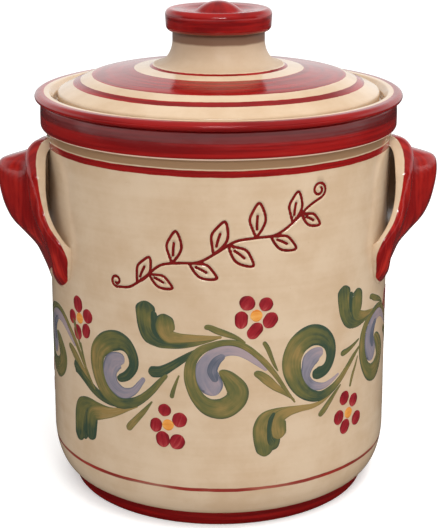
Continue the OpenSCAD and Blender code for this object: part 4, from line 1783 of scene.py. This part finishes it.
@dataclass
class Lid:
    """The loose lid: a domed plate with a bare seat, and a hollow mushroom knob."""

    radius: float = 93.0
    edge_round: float = 2.0
    seat_z: float = 228.0
    dome_z: float = 235.65
    knee_r: float = 74.0
    knee_round: float = 3.0
    crown_slope: float = 7.3
    brim_slope: float = 24.7
    recess_r: float = 85.8
    thick: float = 6.5
    base_r: float = 37.5
    boss: Point = (1.3, 1.0)
    vent_r: float = 2.5
    neck_r: float = 26.6
    neck_h: float = 19.3
    cap_r: float = 30.7
    cap_h: float = 12.4
    dish: float = 2.0
    button: Point = (13.5, 6.0)

    def _height(self, r: float) -> float:
        """Height of the dome, two cones with a rounded knee between, at a radius."""
        brim, crown = (math.tan(math.radians(a)) for a in (self.brim_slope, self.crown_slope))
        bend = (math.hypot(self.radius - self.knee_r, self.knee_round)
                - math.hypot(r - self.knee_r, self.knee_round))
        return self.dome_z + (brim + crown) / 2 * (self.radius - r) + (brim - crown) / 2 * bend

    @property
    def knob_z(self) -> float:
        """Height of the knob's base."""
        return self._height(self.base_r) + self.boss[1]

    def _dome(self, start: float, end: float, lift: float, steps: int) -> list[Point]:
        """Points of the dome's curve between two radii."""
        return [(r, self._height(r) + lift) for r in np.linspace(start, end, steps + 1)]

    def _plate(self) -> list[Point]:
        """Outline of the plate, a closed ring about its vent."""
        e = self.edge_round
        slope = math.radians(self.brim_slope)
        edge_r = self.radius - e
        edge_z = self._height(edge_r + e * math.sin(slope)) - e * math.cos(slope)
        under = self._dome(self.recess_r - 2, self.base_r, -self.thick, 40)
        flat = (self.vent_r, under[-1][1])
        under += span(under[-1], flat, 4) + [flat]
        seat_end = (self.recess_r, self.seat_z)
        points = [(self.vent_r, self.knob_z)]
        points += span(points[-1], (self.base_r, self.knob_z), 4) + [(self.base_r, self.knob_z)]
        foot = self.base_r + self.boss[0]
        points += [(foot - 0.4, self.knob_z - self.boss[1] + 0.5)]
        points += self._dome(foot + 0.5, edge_r, 0.0, 60)
        points += arc((edge_r, edge_z), (e, e), 90 - self.brim_slope, 0, 8)
        points += span(points[-1], (self.radius, self.seat_z + 0.7), 1.2)
        points += arc((self.radius - 0.7, self.seat_z + 0.7), (0.7, 0.7), 0, -90, 4)
        points += span(points[-1], seat_end, 1.5) + [seat_end]
        points += span(seat_end, under[0], 1.0) + under
        return points

    def _knob(self) -> list[Point]:
        """Outline of neck, cap and button."""
        cap_z = self.knob_z + self.neck_h
        flare = self.neck_h * 0.72
        lip, shoulder = 2.4, 3.4
        edge_z, top_z = cap_z + self.cap_h * 0.72, cap_z + self.cap_h
        dish_z = top_z - self.dish
        under = self.neck_r + 0.5
        points = [(0.0, self.knob_z)] + span((0, self.knob_z), (self.base_r, self.knob_z), 6)
        points += arc((self.base_r, self.knob_z + flare), (self.base_r - self.neck_r, flare),
                      -90, -180, 26)
        points += span(points[-1], (self.neck_r, cap_z - 0.8), 1.2)
        points += [(self.neck_r - 0.1, cap_z - 0.6)]
        points += arc((under, cap_z + 3.0), (self.cap_r - 0.35 - under, 3.4), -90, 0, 14)
        upper = self.cap_r
        points += span(points[-1], (upper, edge_z), 1.0) + [(upper, edge_z)]
        points += arc((upper - shoulder, edge_z), (shoulder, top_z - edge_z), 0, 90, 12)[1:]
        inner_lip = (upper - shoulder - lip, top_z - 0.3)
        points += span(points[-1], inner_lip, 0.8) + [inner_lip]
        wide, tall = self.button
        for k in range(1, 12):
            t = k / 12
            points.append((inner_lip[0] + (wide - inner_lip[0]) * t,
                           inner_lip[1] + (dish_z - inner_lip[1]) * t * t * (3 - 2 * t)))
        ball = (wide ** 2 + tall ** 2) / (2 * tall)
        cover = math.asin((wide - 1.0) / ball)
        crest = dish_z + tall - ball
        dome = [(ball * math.sin(cover * k / 20), crest + ball * math.cos(cover * k / 20))
                for k in range(20, -1, -1)]
        return points + dome[:-1] + [(0.0, dish_z + tall)]

    def build(self, turning: TurningTree) -> None:
        """Builds both pieces of the lid.

        Args:
            turning: Tree for turned pieces.
        """
        Turned("lid_dome", self._plate(), True, RingedLid("lid_glaze"), Body.LID, Slot.CREAM,
               "lid_plate", columns=320).build(turning)
        Turned("lid_handle_knob", self._knob(), False, KnobSlip("knob_slip"), Body.LID,
               Slot.RED, "lid_knob").build(turning)


@dataclass
class Studio:
    """Pale floor, soft lamps and the camera at the photograph's angle."""

    distance: float = 830.0
    eye_height: float = 380.0
    pitch: float = 16.85
    orbit: float = 2.4
    shift: float = 0.8
    focal_px: float = 1440.0

    def _camera(self) -> None:
        """Places the camera."""
        data = bpy.data.cameras.new("camera")
        data.sensor_width = 36.0
        data.lens = self.focal_px * data.sensor_width / PHOTO_HEIGHT_PX
        data.clip_start, data.clip_end = 0.01, 50.0
        camera = bpy.data.objects.new("camera", data)
        turn = math.radians(self.orbit)
        side = (math.cos(turn) * self.shift, -math.sin(turn) * self.shift)
        camera.location = ((-self.distance * math.sin(turn) + side[0]) * MM,
                           (-self.distance * math.cos(turn) + side[1]) * MM,
                           self.eye_height * MM)
        camera.rotation_euler = (math.radians(90 - self.pitch), 0.0, -turn)
        bpy.context.scene.collection.objects.link(camera)
        bpy.context.scene.camera = camera

    @staticmethod
    def _lamp(name: str, place: tuple[float, float, float], size: tuple[float, float],
              watts: float, colour: tuple[float, float, float],
              mirrored: bool = False) -> None:
        """Adds a soft box that faces the pot.

        Args:
            name: Name of the lamp.
            place: Its place in metres.
            size: Its width and height in metres.
            watts: Its power.
            colour: Its colour.
            mirrored: Whether the glaze mirrors it.
        """
        data = bpy.data.lights.new(name, "AREA")
        data.shape = "RECTANGLE"
        data.size, data.size_y = size
        data.energy = watts
        data.color = colour
        lamp = bpy.data.objects.new(name, data)
        lamp.location = place
        lamp.visible_glossy = mirrored
        towards = Vector((0.0, 0.0, 0.14)) - Vector(place)
        lamp.rotation_euler = towards.to_track_quat("-Z", "Y").to_euler()
        bpy.context.scene.collection.objects.link(lamp)

    @staticmethod
    def _world() -> None:
        """White all round for the camera; softer and darker in front for the glaze."""
        world = bpy.data.worlds.new("studio")
        world.use_nodes = True
        world.node_tree.nodes.clear()
        maker = Maker(world.node_tree)
        direction = maker.value("ShaderNodeTexCoord", {}, {}, "Generated")
        side, depth, height = maker.split(direction)
        paths = maker.node("ShaderNodeLightPath", {}, {})
        seen = Value(maker, paths.outputs["Is Camera Ray"]).high(
            Value(maker, paths.outputs["Is Transmission Ray"]))
        mirrored = Value(maker, paths.outputs["Is Glossy Ray"])
        white = depth.rise(-0.15, 0.15) * height.rise(0.75, 0.30)
        front = height.rise(0.30, 0.55) * 0.30
        room = white.high(front).high(0.04)
        skylight = (height.rise(-0.1, 0.9) * 0.46 + side.rise(-0.9, 0.9) * 0.22
                    + depth.rise(0.0, 0.6) * 0.15 + 0.33)
        strength = mirrored * room + (1.0 - mirrored) * skylight
        strength = maker.math("MAXIMUM", strength, seen)
        sky = maker.value("ShaderNodeBackground", {}, {
            "Color": (1.0, 1.0, 1.0, 1.0), "Strength": strength})
        maker.node("ShaderNodeOutputWorld", {}, {"Surface": sky})
        bpy.context.scene.world = world

    @staticmethod
    def _floor() -> None:
        """Adds the pale floor."""
        mesh = bpy.data.meshes.new("floor")
        reach = 6.0
        mesh.from_pydata([(-reach, -reach, 0), (reach, -reach, 0), (reach, reach, 0),
                          (-reach, reach, 0)], [], [(0, 1, 2, 3)])
        made = bpy.data.materials.new("floor")
        made.use_nodes = True
        made.node_tree.nodes.clear()
        maker = Maker(made.node_tree)
        here = maker.value("ShaderNodeTexCoord", {}, {}, "Object")
        x, y, _ = maker.split(here)
        away = (x * x + y * y) ** 0.5
        paths = maker.node("ShaderNodeLightPath", {}, {})
        seen = Value(maker, paths.outputs["Is Camera Ray"])
        mirrored = Value(maker, paths.outputs["Is Glossy Ray"])
        grain = maker.noise(here, 3.0) * 0.02 + 0.66
        pale = (seen * 0.28 + grain) * (1.0 - mirrored) + mirrored * 0.04
        card = away.rise(1.58, 1.82) * (away.rise(1.9, 4.0) * 0.8 + 0.95)
        card = card * y.rise(0.6, 0.0) + away.rise(1.6, 1.9) * y.rise(-0.2, 0.4) * 0.45
        matt = maker.value("ShaderNodeBsdfDiffuse", {}, {"Color": maker.join(pale, pale, pale)})
        glow = maker.value("ShaderNodeEmission", {}, {
            "Color": (1.0, 1.0, 1.0, 1.0), "Strength": seen * 0.32 + mirrored * card})
        both = maker.value("ShaderNodeAddShader", {}, {0: matt, 1: glow})
        maker.node("ShaderNodeOutputMaterial", {}, {"Surface": both})
        mesh.materials.append(made)
        floor = bpy.data.objects.new("floor", mesh)
        bpy.context.scene.collection.objects.link(floor)

    def build(self) -> None:
        """Sets up the studio."""
        self._camera()
        self._world()
        self._floor()
        self._lamp("overhead", (0.30, -0.50, 1.35), (0.8, 0.5), 7.9, (1.0, 0.99, 0.97))
        self._lamp("glint", (0.0, -1.1, 0.95), (0.5, 0.035), 3.6, (1.0, 1.0, 1.0), mirrored=True)
        scene = bpy.context.scene
        scene.view_settings.view_transform = "Standard"


def main() -> None:
    """Builds the studio, the crock and the lid."""
    logging.basicConfig(level=logging.INFO, format="%(name)s %(message)s")
    Studio().build()
    turning = TurningTree("turning", grooved=False)
    grooving = TurningTree("turning_with_grooves", grooved=True)
    strokes = StrokeTree("brush_strokes")
    Crock().build(turning, grooving, strokes)
    Lid().build(turning)


if __name__ == "__main__":
    main()
